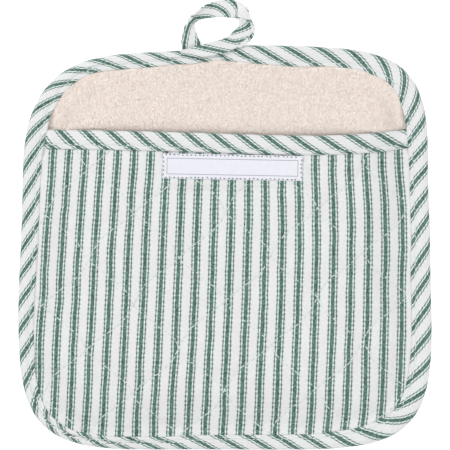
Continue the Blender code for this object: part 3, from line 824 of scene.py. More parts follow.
def make_ticking(name, breaks=0.55, whites=COTTON_WHITES, band_half=BAND_HALF, paler=0.0):
    """Make white cotton with green stripes: a band between two thin dashed lines.

    breaks is how much the paler picks break the stripes up, and paler adds to how pale they are.
    """
    cloth = Finish(name, 0.88, 0.08)
    number, along = cloth.on_cloth()
    fray = cloth.math("MULTIPLY_ADD", cloth.noise(900.0, 3.0, 0.6), FRAY, -FRAY / 2)
    waver = cloth.math("MULTIPLY_ADD", cloth.noise(120.0, 1.0), WAVER, -WAVER / 2)
    nearest = cloth.math("ROUND", number)
    off_centre = cloth.math("SUBTRACT", number, nearest)
    off_centre = cloth.math("MULTIPLY_ADD", off_centre, STRIPE_PITCH, waver)
    distance = cloth.math("ABSOLUTE", off_centre)

    picks = cloth.math("MULTIPLY_ADD", nearest, DASH_DRIFT * DASH_REPEAT, along)
    picks = cloth.math("MULTIPLY_ADD", cloth.noise(260.0, 1.0), PICK_WANDER, picks)
    middle = 0.5 * (1.0 - breaks)
    rungs = cloth.ease(cloth.wave(picks, DASH_REPEAT), -0.6, 0.6, middle, middle + breaks)
    fibres = cloth.math("MULTIPLY_ADD", cloth.noise(1500.0, 1.0), 2.3, paler - 1.15)
    rungs = cloth.math("ADD", rungs, fibres, clamp=True)
    bite = cloth.math("MULTIPLY_ADD", rungs, *PICK_BITE)

    reach = cloth.math("ADD", cloth.math("ADD", distance, fray), bite)
    band = cloth.ease(reach, band_half - BAND_SOFT, band_half + BAND_SOFT, 1.0, 0.0)
    off_line = cloth.math("ABSOLUTE", cloth.math("SUBTRACT", distance, LINE_PLACE))
    line = cloth.ease(off_line, LINE_HALF * 0.4, LINE_HALF * 1.4, 1.0, 0.0)
    line = cloth.math("MULTIPLY", line, cloth.math("MULTIPLY_ADD", rungs, -0.38, 1.0))
    gap = cloth.ease(distance, GAP_REACH, GAP_REACH + GAP_SOFT, 0.9, 0.0)

    green = cloth.mix(cloth.ease(cloth.noise(1100.0, 2.0, 0.6), 0.345, 0.645), GREEN_DEEP, GREEN_SOFT)
    white = cloth.mix(cloth.ease(cloth.noise(60.0, 3.0, 0.6), 0.35, 0.7), *whites)
    speck = cloth.ease(cloth.noise(900.0, 2.0, 0.7), 0.35, 0.65, 0.0, 0.3)
    base = cloth.mix(speck, white, SHADED_COTTON)
    base = cloth.mix(gap, base, cloth.mix(rungs, MINT_DASH, MINT_GAP))
    base = cloth.mix(line, base, GREY_LINE)
    base = cloth.mix(band, base, green)

    warp = cloth.wave(cloth.math("MULTIPLY", number, STRIPE_PITCH), THREAD_REPEAT)
    weave = cloth.math("MULTIPLY", warp, cloth.wave(along, THREAD_REPEAT))
    height = cloth.math("MULTIPLY_ADD", cloth.noise(500.0), 1.2, weave)
    return cloth.finish(base, height, 0.45, TICKING_RELIEF)


def make_lining():
    """Make the plain cotton that lines the pocket."""
    cloth = Finish("pocket_lining_cotton", 0.9, 0.05)
    base = cloth.mix(cloth.noise(70.0, 3.0), colour(232, 228, 222), colour(240, 238, 234))
    warp, weft = (cloth.wave(way, THREAD_REPEAT) for way in cloth.split(cloth.place))
    return cloth.finish(base, cloth.math("MULTIPLY", warp, weft), 0.3, LINING_RELIEF)


def make_terry(name):
    """Make the cream cotton of the terry ground and its loops."""
    cloth = Finish(name, 0.95, 0.12)
    grain = cloth.noise(750.0, 3.0, 0.7)
    cream = cloth.mix(cloth.ease(grain, 0.3, 0.7), colour(249, 235, 226), colour(250, 244, 238))
    cloud = cloth.ease(cloth.noise(55.0, 3.0, 0.6), 0.35, 0.75, 0.0, 0.1)
    base = cloth.mix(cloud, cream, colour(251, 238, 228))
    knots = cloth.node("ShaderNodeTexVoronoi", {"Vector": cloth.place, "Scale": 800.0})
    height = cloth.math("MULTIPLY_ADD", grain, 0.8, knots["Distance"])
    return cloth.finish(base, height, 0.5, TERRY_RELIEF)


def make_thread(name, base):
    """Make a twisted sewing thread."""
    thread = Finish(name, 0.6, 0.1)
    darker = tuple(part * 0.82 for part in base[:3]) + (1.0,)
    lay = thread.math("ADD", *thread.split(thread.place))
    twist = thread.wave(lay, TWIST_REPEAT)
    base = thread.mix(thread.noise(1500.0), darker, base)
    return thread.finish(base, twist, 0.4, THREAD_RELIEF)


def make_label_satin():
    """Make the white woven label, with a thin woven rule round it, set in from its edges."""
    satin = Finish("white_label_satin", 0.42, 0.15)
    across, up = satin.on_cloth()
    white = satin.mix(satin.noise(300.0, 3.0), colour(231, 232, 243), colour(243, 243, 249))
    gaps = [
        satin.math("SUBTRACT", size / 2, satin.math("ABSOLUTE", way))
        for size, way in zip(LABEL_SIZE, (across, up))
    ]
    off_rule = satin.math("SUBTRACT", satin.math("MINIMUM", *gaps), LABEL_RULE_INSET)
    rule = satin.ease(satin.math("ABSOLUTE", off_rule), *LABEL_RULE_HALF, 0.75, 0.0)
    floats = satin.wave(up, FLOAT_REPEAT)
    height = satin.math("MULTIPLY_ADD", satin.wave(across, FLOAT_ROW_REPEAT), 0.3, floats)
    base = satin.mix(rule, white, colour(120, 128, 138))
    return satin.finish(base, height, 0.3, THREAD_RELIEF)


# ---------------------------------------------------------------- the pieces


def declare(piece, node):
    """Attach a piece to the body that it rides with, and hide the imported part that it stands for, if
    one is given.
    """
    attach(piece, BODY)
    if node:
        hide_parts(node)
    return piece


def make_pad(terry, back_ticking):
    """Make the padded back with its terry front, and the striped cloth on its outside."""
    x, y = cloth_grid(PAD_CELLS)
    here = layers(x, y)
    inside = here.depth - BACK_LEG_WIDTH - BACK_RISE_MARGIN
    rise = (BINDING_THICK + PIECE_GAP) * (1.0 - smoothstep(inside / BACK_RISE_RUN))
    sunk = BACK_QUILT_DEPTH * (1.0 - quilt_puff(x, y)) * smoothstep(inside / BACK_QUILT_RUN)
    cloth_level = rise + sunk
    pad_level = cloth_level + BACK_CLOTH_THICK + BACK_CLOTH_GAP
    levels = (here.terry, pad_level, cloth_level + BACK_CLOTH_THICK, cloth_level)
    front, pad_back, cloth_front, cloth_back = (np.dstack([x, y, level]) for level in levels)
    flat = np.stack([x / STRIPE_PITCH, y], axis=-1)
    pad = slab("back_pad_visual", front, pad_back, flat, [terry])
    declare(pad, "back_pad")
    cloth = slab("back_cloth", cloth_front, cloth_back, flat, [back_ticking])
    declare(cloth, "back_pad")


def mouth_ends(below):
    """Give the x where a line a given way below the mouth meets the pressed edge, left and right."""
    ends = []
    for side in (-1, 1):
        near = PRESSED_EDGE[:, 0] * side > HALF_WIDTH * 0.8
        near &= np.abs(PRESSED_EDGE[:, 1]) < HALF_HEIGHT * 0.8
        edge = PRESSED_EDGE[near]
        edge = edge[np.argsort(edge[:, 1])]
        x = side * HALF_WIDTH
        for _ in range(6):
            x = float(np.interp(mouth_line(x) - below, edge[:, 1], edge[:, 0]))
        ends.append(x)
    return ends


SWELL_FRAMES = 20
SWELL_CAP = 1.7 * MM
# The panel's cotton as it swells: light, easily bent, a little larger than its grid, and blown
# up from inside with gravity off.
SWELL_SETTINGS = {
    "quality": 6,
    "mass": 0.05,
    "tension_stiffness": 15.0,
    "compression_stiffness": 15.0,
    "shear_stiffness": 5.0,
    "bending_stiffness": 0.5,
    "vertex_group_mass": "sewn",
    "use_pressure": True,
    "uniform_pressure_force": 4.0,
    "shrink_min": -0.012,
}


def swell(x, y, level, sewn):
    """Let a cloth grid swell between its sewn places, and give how far each place rises."""
    places = np.dstack([x, y, level])
    cloth = show("swelling_cloth", new_mesh("swelling_cloth", places, lattice(*x.shape).tolist()))
    group = cloth.vertex_groups.new(name="sewn")
    group.add(np.flatnonzero(sewn.ravel()).tolist(), 1.0, "REPLACE")
    modifier = cloth.modifiers.new("swelling", "CLOTH")
    set_all(modifier.settings, **SWELL_SETTINGS)
    modifier.settings.effector_weights.gravity = 0.0
    modifier.collision_settings.use_collision = False
    set_all(modifier.point_cache, frame_start=1, frame_end=SWELL_FRAMES)
    for number in range(1, SWELL_FRAMES + 1):
        bpy.context.scene.frame_set(number)
    solved = cloth.evaluated_get(bpy.context.evaluated_depsgraph_get())
    moved = np.empty(x.size * 3, dtype=np.float32)
    solved.data.vertices.foreach_get("co", moved)
    rise = moved.reshape(*x.shape, 3)[:, :, 2] - level
    bpy.data.objects.remove(cloth)
    bpy.context.scene.frame_set(1)
    calm = np.pad(rise, 1, mode="edge")
    calm = (calm[:-2] + 2 * calm[1:-1] + calm[2:]) / 4
    calm = (calm[:, :-2] + 2 * calm[:, 1:-1] + calm[:, 2:]) / 4
    return np.where(calm > 0, np.tanh(calm / SWELL_CAP) * SWELL_CAP, calm * 0.5)


def quilted_rise(x, y, here, to_thread):
    """Give how far the panel's cloth rises above the level it is quilted down to."""
    sewn = np.minimum(*to_thread) < QUILT_SEWN_HALF
    sewn |= (here.inside < SEAM_SEWN_HALF) | (here.quiet > 0.5)
    rise = swell(*(grid[::2, ::2] for grid in (x, y, here.panel_front, sewn)))
    for _ in range(2):
        rise = round_lines(rise[:, :, None], 2, False)[:, :, 0].T
    return rise


def make_panel(ticking, lining):
    """Make the quilted pocket panel, whose cloth swells between the quilting lines."""
    tuck = FOLD_WALL + 2 * PIECE_GAP
    mouth_x = np.linspace(*mouth_ends(tuck), 120)
    x, y = cloth_grid(PANEL_CELLS, np.stack([mouth_x, mouth_line(mouth_x) - tuck], axis=1))
    here = layers(x, y)
    to_thread = quilt_distance(x, y)
    open_share = smoothstep(here.inside / PANEL_OPEN_RUN) * (1.0 - here.band)
    groove = np.maximum(*(bump(distance, QUILT_GROOVE_WIDTH) for distance in to_thread))
    front = here.panel_front + quilted_rise(x, y, here, to_thread)
    front = front - QUILT_GROOVE_DEPTH * groove * open_share * (1.0 - here.quiet)
    front = front + soft_noise(x, y, PANEL_LUMP_SIZE, 21) * PANEL_LUMPS * open_share
    stripe = panel_stripe(x, y)
    for size, share, seed in STRIPE_WANDER:
        stripe = stripe + soft_noise(x, y, size * MM, seed) * share
    front, back = (np.dstack([x, y, level]) for level in (front, here.panel_back))
    flat = np.stack([stripe, y], axis=-1)
    panel = slab("pocket_panel_visual", front, back, flat, [ticking, lining])
    declare(panel, "pocket_panel")
    return panel


def across_section(rings):
    """Give each section's way round, looped, from the row where the stripes are placed."""
    way = way_along(np.concatenate([rings, rings[:, :1]], axis=1), axis=1)
    return way[:, STRIPE_ROW * SPLINE_STEPS][:, None] - way


def bias_cloth(start, across, slant, sewn, stripes):
    """Give the places on a bias strip's flat cloth, whose stripes jump where it is sewn down."""
    jump, extra_slant = sewn
    past = np.clip(across - across[:, STITCH_ROW * SPLINE_STEPS][:, None], 0, None)
    shift = jump * smoothstep(past / SEWN_JUMP_RUN) + extra_slant * past
    number = np.interp((start - slant * across - shift) / MM, stripes[:, 0], stripes[:, 1])
    return np.stack([number, across * np.sqrt(1 + slant**2)], axis=2)


def leg_relief(along, lean, inset, from_stitch, sizes, seed):
    """Give a binding's slow roll along its leg, and its puckers, which its stitches pull in."""
    pucker_size, roll_size, roll_height = sizes
    pull = np.exp(-np.clip(from_stitch, 0, None) / PUCKER_FADE) * (from_stitch > 0)
    pucker = soft_noise(along - lean * 0.5, inset * 0.6, pucker_size, seed) * PUCKER_HEIGHT
    roll = soft_noise(along, inset, roll_size, seed + 1) * roll_height
    return pucker * (PUCKER_REST + (1.0 - PUCKER_REST) * pull) + roll


def make_edge_binding(ticking):
    """Make the bias strip that is folded round the whole edge."""
    corner, normal, way = clockwise_stations()
    here = layers(corner[:, 0], corner[:, 1])
    lumps = soft_noise(way, way * 0.0, EDGE_WIDTH_LUMP_SIZE, 31) * EDGE_WIDTH_LUMPS
    width = (here.width + lumps)[:, None]
    level = here.cover[:, None]
    knots = np.array(EDGE_SECTION, dtype=float).T
    section = np.stack([width * knots[0] + knots[1] * MM, level * knots[2] + knots[3] * MM], axis=2)
    section = round_lines(section, SPLINE_STEPS, True)
    across = across_section(section)
    total = way[-1] / MM
    stripes = np.array(EDGE_STRIPES)
    round_again = np.array((total, EDGE_STRIPE_COUNT))
    stripes = np.vstack([stripes[-1] - round_again, stripes, stripes[:2] + round_again])
    slants = np.array(EDGE_SLANT + ((total, EDGE_SLANT[0][1]),))
    slant = np.interp(way / MM, slants[:, 0], slants[:, 1])[:, None]
    cloth = bias_cloth(way[:, None], across, slant, EDGE_SEWN, stripes)
    inset = section[:-1, :, 0]
    height = section[:-1, :, 1]
    along = np.repeat(way[:-1, None], inset.shape[1], axis=1)
    start_share, run_share = EDGE_FRONT_SHARES
    front = ramp(height, level[:-1] * start_share, level[:-1] * run_share)
    from_stitch = (width[:-1] - STITCH_INSET) - inset
    lean = slant[:-1] * across[:-1, :-1]
    relief = leg_relief(along, lean, inset, from_stitch, EDGE_RELIEF, 32)
    bead = soft_noise(along, inset * 0.0, EDGE_BEAD_SIZE, 34) * EDGE_BEAD_HEIGHT
    height = height + front * smoothstep(inset / EDGE_ROUND_RUN) * relief
    height = height + front * bead * bump(from_stitch + EDGE_BEAD_PAST, EDGE_BEAD_HALF)
    places = corner[:-1, None, :] - normal[:-1, None, :] * inset[:, :, None]
    rings = np.concatenate([places, height[:, :, None]], axis=2)
    binding = loft("edge_binding_visual", rings, cloth, True, ticking)
    declare(binding, "edge_binding")
    return binding


def make_mouth_binding(ticking):
    """Make the bias strip that is folded over the pocket's mouth."""
    levels = crowded_levels(MOUTH_STATIONS, 0.2)
    knots = []
    for below, share, lift in MOUTH_SECTION:
        left_x, right_x = mouth_ends(below * MM)
        x = left_x + (right_x - left_x) * levels
        y = mouth_line(x) - below * MM
        here = layers(x, y)
        height = here.pocket_back + (here.pocket_front - here.pocket_back) * share + lift * MM
        knots.append(np.stack([x, y, height], axis=1))
    knots = np.stack(knots, axis=1)
    rings = round_lines(knots, SPLINE_STEPS, True)
    across = across_section(rings)
    start = rings[:, STRIPE_ROW * SPLINE_STEPS, 0][:, None]
    slants = np.array(MOUTH_SLANT)
    slant = np.interp(start / MM, slants[:, 0], slants[:, 1])
    start = start + slant * MOUTH_STRIPE_BELOW
    cloth = bias_cloth(start, across, slant, MOUTH_SEWN, np.array(MOUTH_STRIPES))
    x, y, height = np.moveaxis(rings, 2, 0)
    below = mouth_line(x) - y
    front = ramp(height, knots[:, FOLD_ROW, 2][:, None], MOUTH_FRONT_RUN)
    end_quiet = ramp(depth_in(x, y), MOUTH_END_MARGIN, MOUTH_END_RUN)
    from_stitch = MOUTH_BINDING_WIDTH - STITCH_INSET - below
    lean = slant * across[:, :-1]
    relief = leg_relief(x, lean, below, from_stitch, MOUTH_RELIEF, 42)
    rings[:, :, 2] += front * end_quiet * relief
    binding = loft("pocket_binding_visual", rings, cloth, False, ticking)
    declare(binding, "pocket_binding")
    return binding


LOOP_LINE = round_lines(np.array(LOOP_STRIP)[None], LOOP_ROW_STEPS, False)[0]


def strip_frame(line):
    """Give a strip's eye side, its way across and its upward way, a row for each place along it."""
    inner = line[:, 0:3] * MM
    outer = line[:, 3:6] * MM
    across_way = outer - inner
    over_way = np.cross(across_way, np.gradient((inner + outer) / 2, axis=0))
    over_way /= np.linalg.norm(over_way, axis=1, keepdims=True)
    over_way *= np.where(over_way[:, 2:] < 0, -1.0, 1.0)
    return inner[:, None, :], across_way[:, None, :], over_way[:, None, :]


def make_hanging_loop(ticking):
    """Make the folded strip that runs round the hanging loop."""
    way = way_along((LOOP_LINE[:, 0:3] + LOOP_LINE[:, 3:6]) / 2)
    wanted = np.linspace(0.0, way[-1], LOOP_STATIONS)
    line = read_line(wanted, way, LOOP_LINE)
    inner, across_way, over_way = strip_frame(line)
    wanted = wanted[:, None] * MM
    section = round_lines(np.array(LOOP_SECTION)[None], SPLINE_STEPS, True)[0]
    creases = soft_noise(wanted, section[None, :, 0] * LOOP_CREASE_REACH, LOOP_CREASE_SIZE, 61)
    thick = LOOP_THICK / 2 * section[None, :, 1] + creases * LOOP_CREASES
    rings = inner + across_way * section[None, :, :1] + over_way * thick[:, :, None]
    share = np.append(section[:, 0], section[0, 0])[None]
    number = line[:, 6:7] * (1 - share) + line[:, 7:8] * share
    cloth = np.stack([number, share * LOOP_FLAT_WIDTH + wanted * LOOP_CLOTH_STEP], axis=2)
    loop = loft("hanging_loop_visual", rings, cloth, False, ticking)
    declare(loop, "hanging_loop")


def make_loop_lap(ticking):
    """Make the lap of the folded strip, over the right of the hanging loop."""
    table = np.array(LOOP_LAP)
    rows = np.linspace(table[0, 0], table[-1, 0], LAP_CELLS[0])
    places = np.arange(len(LOOP_LINE)) / LOOP_ROW_STEPS
    inner, across_way, over_way = strip_frame(read_line(rows, places, LOOP_LINE))
    eye, outside, number, change = read_line(rows, table[:, 0], table[:, 1:]).T[:, :, None]
    levels = np.linspace(0.0, 1.0, LAP_CELLS[1])[None, :]
    share = eye + (outside - eye) * levels
    rounded = smoothstep(np.minimum(levels, 1.0 - levels) / LAP_EDGE_SHARE)
    turned = LAP_TURN_DEPTH * ramp(share, LAP_TURN_START, LAP_TURN_RUN)
    height = LOOP_THICK / 2 * (1.0 - turned) + LAP_GAP
    thick = LAP_THICK * (LAP_EDGE_HEIGHT + (1.0 - LAP_EDGE_HEIGHT) * rounded)
    base = inner + across_way * share[:, :, None]
    front = base + over_way * (height + thick)[:, :, None]
    back = base + over_way * height[:, :, None]
    stripe = number + np.minimum(change * (1.0 - share), LAP_MOST_CHANGE)
    way = np.repeat(rows[:, None] * LAP_ROW_STEP, levels.shape[1], axis=1)
    lap = slab("loop_lap", front, back, np.stack([stripe, way], axis=-1), [ticking])
    declare(lap, "hanging_loop")


def on_label(flat_x, flat_y):
    """Turn a place on the flat label into the x and y where it lies."""
    turn_x = math.cos(LABEL_TURN)
    turn_y = math.sin(LABEL_TURN)
    x = LABEL_CENTRE[0] + flat_x * turn_x - flat_y * turn_y
    return x, LABEL_CENTRE[1] + flat_x * turn_y + flat_y * turn_x


def make_label(satin):
    """Make the blank woven label, lying on the panel just under the mouth's binding."""
    lines = [np.linspace(-0.5, 0.5, count) * size for count, size in zip(LABEL_PLACES, LABEL_SIZE)]
    flat_x, flat_y = np.meshgrid(*lines)
    x, y = on_label(flat_x, flat_y)
    low = layers(x, y).pocket_front + LABEL_GAP
    edge = np.minimum(LABEL_SIZE[0] / 2 - np.abs(flat_x), LABEL_SIZE[1] / 2 - np.abs(flat_y))
    bead_height, bead_place, bead_reach = LABEL_BEAD
    from_bead = mouth_line(x) - y - MOUTH_BINDING_WIDTH + bead_place
    lift = LABEL_LUMPS * soft_noise(x, y, LABEL_LUMP_SIZE, 51)
    lift = lift + bead_height * bump(from_bead, bead_reach)
    full = LABEL_EDGE_SHARE + (1.0 - LABEL_EDGE_SHARE) * smoothstep(edge / LABEL_EDGE_RUN)
    high = low + LABEL_THICK * full + lift
    front, back = (np.dstack([x, y, level]) for level in (high, low))
    label = slab("label_visual", front, back, np.stack([flat_x, flat_y], axis=-1), [satin])
    declare(label, "label")
    return label


# ---------------------------------------------------------------- stitches and terry loops

GROUP_INPUTS = {
    "Geometry": "NodeSocketGeometry",
    "Shape": "NodeSocketObject",
    "Material": "NodeSocketMaterial",
    "Seed": "NodeSocketInt",
    "Smallest": "NodeSocketFloat",
    "Largest": "NodeSocketFloat",
}
PILE_DENSITY = 9.0e6
# The least and the most that a terry loop leans and turns, in radians about x, y and z.
PILE_LEAN = ((-0.5, -0.5, 0.9), (0.5, 0.5, 2.24))
PILE_REACH = 8 * MM
PILE_SIDE_MARGIN = 9.5 * MM
PILE_SUNK = 0.05 * MM
PILE_TUCK = 0.4 * MM
PILE_LOOP = (0.74 * MM, 0.34 * MM, 0.46 * MM)
PILE_SIZES = {"Smallest": 0.82, "Largest": 1.04, "Spacing": 0.53 * MM}
# Each area of loops: its shares of the way across from the middle, and its seed.
PILE_AREAS = {
    "terry_loops_left": (-0.985, -0.27, 81),
    "terry_loops_middle": (-0.27, 0.27, 82),
    "terry_loops_right": (0.27, 0.985, 83),
}
STITCH_SIZES = {"Smallest": 0.92, "Largest": 1.08}
STITCH_END_GIRTH = 0.02 * MM
# How far a stitch strays along its row and half its reach, as shares of the pitch, and the height
# from which its ends are dropped onto the cloth.
STITCH_STRAY = 0.07
STITCH_HALF_REACH = 0.4
DROP_HEIGHT = 0.1
MOUTH_STITCH_ENDS = (-99.0 * MM, 97.0 * MM)
LABEL_STITCH_INSET = 0.7 * MM
LABEL_STITCH_SHARES = (0.49, 0.42)
# Columns: a stitch's length and thickness, the row's pitch, lift and scatter, in mm, and its seed.
STITCHES = {
    "quilting_thread": (3.3, 0.6, 3.4, 0.2, 0.15, 71),
    "edge_topstitch": (2.1, 0.42, 2.6, 0.05, 0.1, 72),
    "mouth_topstitch": (2.1, 0.42, 2.6, 0.05, 0.1, 73),
    "label_stitches": (1.4, 0.5, 2.3, 0.04, 0.16, 74),
}


def make_group(name, scattered):
    """Make the group that puts a shape on each place of a row, or scatters it over a cloth."""
    group = bpy.data.node_groups.new(name, "GeometryNodeTree")
    sockets = group.interface
    sockets.new_socket(name="Geometry", in_out="OUTPUT", socket_type="NodeSocketGeometry")
    for socket, kind in GROUP_INPUTS.items():
        sockets.new_socket(name=socket, in_out="INPUT", socket_type=kind)
    if scattered:
        sockets.new_socket(name="Spacing", in_out="INPUT", socket_type="NodeSocketFloat")
    sheet = NodeSheet(group)
    given = sheet.node("NodeGroupInput", {})
    seed = given["Seed"]
    if scattered:
        feeds = {"Mesh": given["Geometry"], "Distance Min": given["Spacing"], "Seed": seed}
        feeds["Density Max"] = PILE_DENSITY
        kind = "GeometryNodeDistributePointsOnFaces"
        points = sheet.node(kind, feeds, distribute_method="POISSON")["Points"]
        feeds = {0: PILE_LEAN[0], 1: PILE_LEAN[1], "Seed": seed}
        turn = sheet.node("FunctionNodeRandomValue", feeds, data_type="FLOAT_VECTOR")[0]
    else:
        points = given["Geometry"]
        kind = "GeometryNodeInputNamedAttribute"
        turn = sheet.node(kind, {"Name": "turn"}, data_type="FLOAT_VECTOR")["Attribute"]
    shape = sheet.node("GeometryNodeObjectInfo", {"Object": given["Shape"]})["Geometry"]
    feeds = {2: given["Smallest"], 3: given["Largest"], "Seed": seed}
    size = sheet.node("FunctionNodeRandomValue", feeds, data_type="FLOAT")[1]
    feeds = {"Points": points, "Instance": shape, "Rotation": turn, "Scale": size}
    put = sheet.node("GeometryNodeInstanceOnPoints", feeds)["Instances"]
    real = sheet.node("GeometryNodeRealizeInstances", {"Geometry": put})["Geometry"]
    feeds = {"Geometry": real, "Material": given["Material"]}
    dyed = sheet.node("GeometryNodeSetMaterial", feeds)["Geometry"]
    sheet.node("NodeGroupOutput", {"Geometry": dyed})
    return group


def grow(name, mesh, group, values):
    """Run a geometry node group on a mesh and give the plain piece that it makes."""
    source = show(name + "_source", mesh)
    modifier = source.modifiers.new("grow", "NODES")
    modifier.node_group = group
    for item in group.interface.items_tree:
        if item.in_out == "INPUT" and item.name in values:
            modifier[item.identifier] = values[item.name]
    solved = source.evaluated_get(bpy.context.evaluated_depsgraph_get())
    grown = bpy.data.meshes.new_from_object(solved)
    grown.name = name
    bpy.data.objects.remove(source)
    grown.shade_smooth()
    return show(name, grown)


def make_yarn(name, middles, upward, girth, turns):
    """Skin a short yarn round its middles into a closed tube, kept out of the picture.

    upward is each ring's own way up, and turns are its corners' angles up from +Y.
    """
    turns = turns[None, :, None]
    corners_way = np.cos(turns) * np.array((0.0, 1.0, 0.0)) + np.sin(turns) * upward[:, None, :]
    rings = middles[:, None, :] + corners_way * np.reshape(girth, (-1, 1, 1))
    steps, sides = rings.shape[:2]
    corners = lattice(steps, sides + 1)
    faces = ((corners // (sides + 1)) * sides + (corners % (sides + 1)) % sides).tolist()
    faces.append(list(range(sides))[::-1])
    faces.append([(steps - 1) * sides + i for i in range(sides)])
    mesh = new_mesh(name, rings, faces)
    face_outward(mesh)
    return bpy.data.objects.new(name, mesh)


def make_stitch_shape(length, thickness):
    """Make one stitch along X: a thread that comes up, lies flat and goes down again."""
    level = np.linspace(-1.0, 1.0, 5)
    zero = np.zeros(5)
    girth = thickness / 2 * np.sqrt(1.0 - np.abs(level) ** 4) + STITCH_END_GIRTH
    middles = np.stack([level * length / 2, zero, -thickness * 0.9 * np.abs(level) ** 3], axis=1)
    turns = np.arange(4) * math.pi / 2
    return make_yarn("stitch", middles, np.stack([zero, zero, zero + 1.0], axis=1), girth, turns)


def make_loop_shape(width, height, thickness):
    """Make one terry loop: a small arch of yarn standing on its two feet."""
    turn = np.linspace(-0.15, math.pi + 0.15, 5)
    upward = np.stack([-np.cos(turn), turn * 0.0, np.sin(turn)], axis=1)
    middles = upward * np.array((width / 2, 0.0, height))
    turns = math.pi / 2 - np.arange(3) * 2 * math.pi / 3
    return make_yarn("terry_loop", middles, upward, thickness / 2, turns)


def lay_stitches(name, lines, piece, thread, group):
    """Lay stitches along lines over a piece's front. Lines hold x and y from the body's centre."""
    length, thickness, pitch, lift, scatter = (size * MM for size in STITCHES[name][:5])
    seed = STITCHES[name][5]
    verts = [vertex.co.copy() for vertex in piece.data.vertices]
    tree = BVHTree.FromPolygons(verts, [list(face.vertices) for face in piece.data.polygons])
    places = []
    turns = []
    chance = np.random.default_rng(seed)
    for line in lines:
        way = way_along(line + BODY_CENTRE)
        for i in range(int(way[-1] / pitch)):
            middle = (i + 0.5 + chance.uniform(-STITCH_STRAY, STITCH_STRAY)) * pitch
            reach = np.array((-1, 1)) * pitch * STITCH_HALF_REACH
            ends = read_line(middle + reach, way, line + BODY_CENTRE)
            ends = ends + chance.normal(0.0, scatter, (2, 2))
            hits = [tree.ray_cast((*end, DROP_HEIGHT), (0.0, 0.0, -1.0))[0] for end in ends]
            if None in hits:
                continue
            step = hits[1] - hits[0]
            places.append((hits[0] + hits[1]) / 2 + Vector((0.0, 0.0, lift)))
            flat = math.hypot(step.x, step.y)
            turns.append((0.0, -math.atan2(step.z, flat), math.atan2(step.y, step.x)))
    mesh = new_mesh(name + "_places", [tuple(place) for place in places], [])
    turn = mesh.attributes.new("turn", "FLOAT_VECTOR", "POINT")
    turn.data.foreach_set("vector", np.array(turns, dtype=np.float32).ravel())
    shape = make_stitch_shape(length, thickness)
    values = STITCH_SIZES | {"Shape": shape, "Material": thread, "Seed": seed}
    declare(grow(name, mesh, group, values), None)


def quilt_lines():
    """Give the quilting lines over the panel, cut where the panel isn't quilted."""
    lines = []
    along = np.arange(-QUILT_REACH, QUILT_REACH, 1.0) * MM
    for sign, offset, spacing, *wave in QUILT_LINES:
        for number in QUILT_NUMBERS:
            across = (offset + number * spacing) * MM - quilt_wave(along, *wave)
            x = (across + along) / 2
            y = sign * (across - along) / 2
            right = x - LABEL_CENTRE[0]
            up = y - LABEL_CENTRE[1] - right * math.tan(LABEL_TURN)
            covered = (np.abs(right) < LABEL_SIZE[0] / 2) & (np.abs(up) < LABEL_SIZE[1] / 2)
            sewn = (depth_in(x, y) > binding_width(x, y) + PIECE_GAP) & ~covered
            sewn &= mouth_line(x) - y > MOUTH_BINDING_WIDTH
            edges = np.flatnonzero(np.diff(np.concatenate([[0], sewn.astype(int), [0]])))
            for first, last in zip(edges[::2], edges[1::2]):
                if last - first > QUILT_FEWEST:
                    lines.append(np.stack([x[first:last], y[first:last]], axis=1))
    return lines


def make_stitches(panel, mouth, edge, label):
    """Sew the pot holder: the quilting, both bindings and the label."""
    white = make_thread("white_thread", colour(243, 253, 250))
    grey = make_thread("grey_thread", colour(88, 84, 100))
    group = make_group("row_of_stitches", False)
    lay_stitches("quilting_thread", quilt_lines(), panel, white, group)
    corner, normal, _ = clockwise_stations()
    width = binding_width(corner[:, 0], corner[:, 1])
    line = corner - normal * (width - STITCH_INSET)[:, None]
    lay_stitches("edge_topstitch", [line], edge, white, group)
    x = np.linspace(*MOUTH_STITCH_ENDS, 240)
    line = np.stack([x, mouth_line(x) - (MOUTH_BINDING_WIDTH - STITCH_INSET)], axis=1)
    lay_stitches("mouth_topstitch", [line], mouth, white, group)
    lines = []
    long_share, short_share = LABEL_STITCH_SHARES
    for side in (-1, 1):
        level = np.full(60, side * (LABEL_SIZE[1] / 2 - LABEL_STITCH_INSET))
        along = np.linspace(-long_share, long_share, 60) * LABEL_SIZE[0]
        lines.append(on_label(along, level))
        end = np.full(12, side * (LABEL_SIZE[0] / 2 - LABEL_STITCH_INSET))
        up = np.linspace(-short_share, short_share, 12) * LABEL_SIZE[1]
        lines.append(on_label(end, up))
    lines = [np.stack(line, axis=1) for line in lines]
    lay_stitches("label_stitches", lines, label, grey, group)


def make_pile(terry):
    """Cover the terry that shows above the pocket, and a little way into it, with loops."""
    group = make_group("terry_pile", True)
    values = PILE_SIZES | {"Material": terry, "Shape": make_loop_shape(*PILE_LOOP)}
    for name, (low_share, high_share, seed) in PILE_AREAS.items():
        share = np.linspace(low_share, high_share, PILE_GRID[0])[None, :]
        x = np.repeat(share * (HALF_WIDTH - PILE_SIDE_MARGIN), PILE_GRID[1], axis=0)
        low = mouth_line(x) - PILE_REACH
        y = low + (HALF_HEIGHT - low) * np.linspace(0.0, 1.0, PILE_GRID[1])[:, None]
        here = layers(x, y)
        quads = lattice(*x.shape)
        quads = quads[(here.inside + PILE_TUCK > 0).ravel()[quads].all(axis=1)]
        places = np.dstack([x + BODY_CENTRE[0], y + BODY_CENTRE[1], here.terry - PILE_SUNK])
        mesh = new_mesh(name + "_ground", places, quads.tolist())
        declare(grow(name, mesh, group, values | {"Seed": seed}), None)


# ---------------------------------------------------------------- floor, light and camera

VIEW_WIDTH = 0.2483
LENS = 240.0
SENSOR = 36.0
CAMERA_LIFT = 0.010
FLOOR_HALF = 3.0
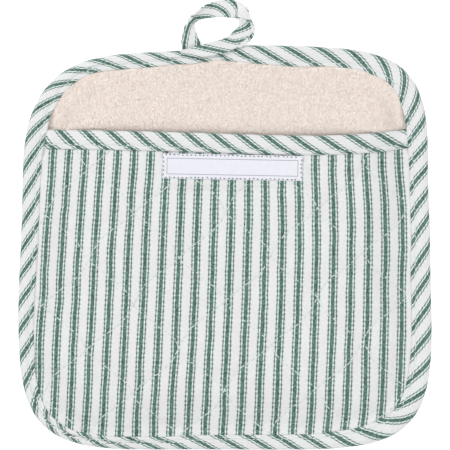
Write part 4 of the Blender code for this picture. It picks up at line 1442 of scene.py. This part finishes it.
# Each softbox: its place, its size in metres and its power in watts.
SOFTBOXES = {
    "key_softbox": ((-1.1, 1.1, 1.6), 0.7, 18.8),
    "top_softbox": ((0.75, -0.55, 2.1), 1.8, 25.1),
}


def make_studio():
    """Make the pale surface, the soft lights and the camera."""
    places = [(x * FLOOR_HALF, y * FLOOR_HALF, 0) for x, y in ((-1, -1), (1, -1), (1, 1), (-1, 1))]
    floor = show("floor", new_mesh("floor", places, [(0, 1, 2, 3)]))
    material = bpy.data.materials.new("pale_floor")
    material.use_nodes = True
    shader = material.node_tree.nodes["Principled BSDF"]
    set_inputs(shader, {"Roughness": 0.9, "Specular IOR Level": 0.2, "Emission Strength": 0.45})
    set_inputs(shader, {"Base Color": (0.9, 0.9, 0.9, 1.0), "Emission Color": (1.0, 1.0, 1.0, 1.0)})
    floor.data.materials.append(material)

    world = bpy.data.worlds.new("soft_room")
    bpy.context.scene.world = world
    world.use_nodes = True
    background = world.node_tree.nodes["Background"]
    set_inputs(background, {"Color": (1.0, 1.0, 1.0, 1.0), "Strength": 0.4})

    for name, (place, size, power) in SOFTBOXES.items():
        lamp = bpy.data.lights.new(name, "AREA")
        set_all(lamp, shape="SQUARE", size=size, energy=power)
        x, y, z = place
        turn = (math.atan2(math.hypot(x, y), z), 0.0, math.atan2(-y, -x) - math.pi / 2)
        set_all(show(name, lamp), location=place, rotation_euler=turn)

    data = bpy.data.cameras.new("camera")
    set_all(data, lens=LENS, sensor_width=SENSOR, clip_start=0.05, clip_end=20.0)
    camera = show("camera", data)
    camera.location = (0.0, 0.0, VIEW_WIDTH * LENS / SENSOR + CAMERA_LIFT)
    bpy.context.scene.camera = camera
    bpy.context.scene.view_settings.view_transform = "Standard"


def main():
    """Make the whole scene."""
    terry = make_terry("cream_terry_ground")
    panel_ticking = make_ticking("panel_ticking")
    # The bias ticking takes the paler whites: painted light for the bindings' sloping sides.
    bias_ticking = make_ticking("bias_ticking", 0.8, BIAS_WHITES_PAINTED_LIGHTER, BIAS_BAND_HALF, 0.25)
    back_ticking = make_ticking("back_ticking")
    lining = make_lining()
    satin = make_label_satin()
    make_studio()
    make_pad(terry, back_ticking)
    panel = make_panel(panel_ticking, lining)
    mouth = make_mouth_binding(bias_ticking)
    edge = make_edge_binding(bias_ticking)
    make_hanging_loop(bias_ticking)
    make_loop_lap(bias_ticking)
    label = make_label(satin)
    make_stitches(panel, mouth, edge, label)
    make_pile(make_terry("cream_terry_loops"))


main()
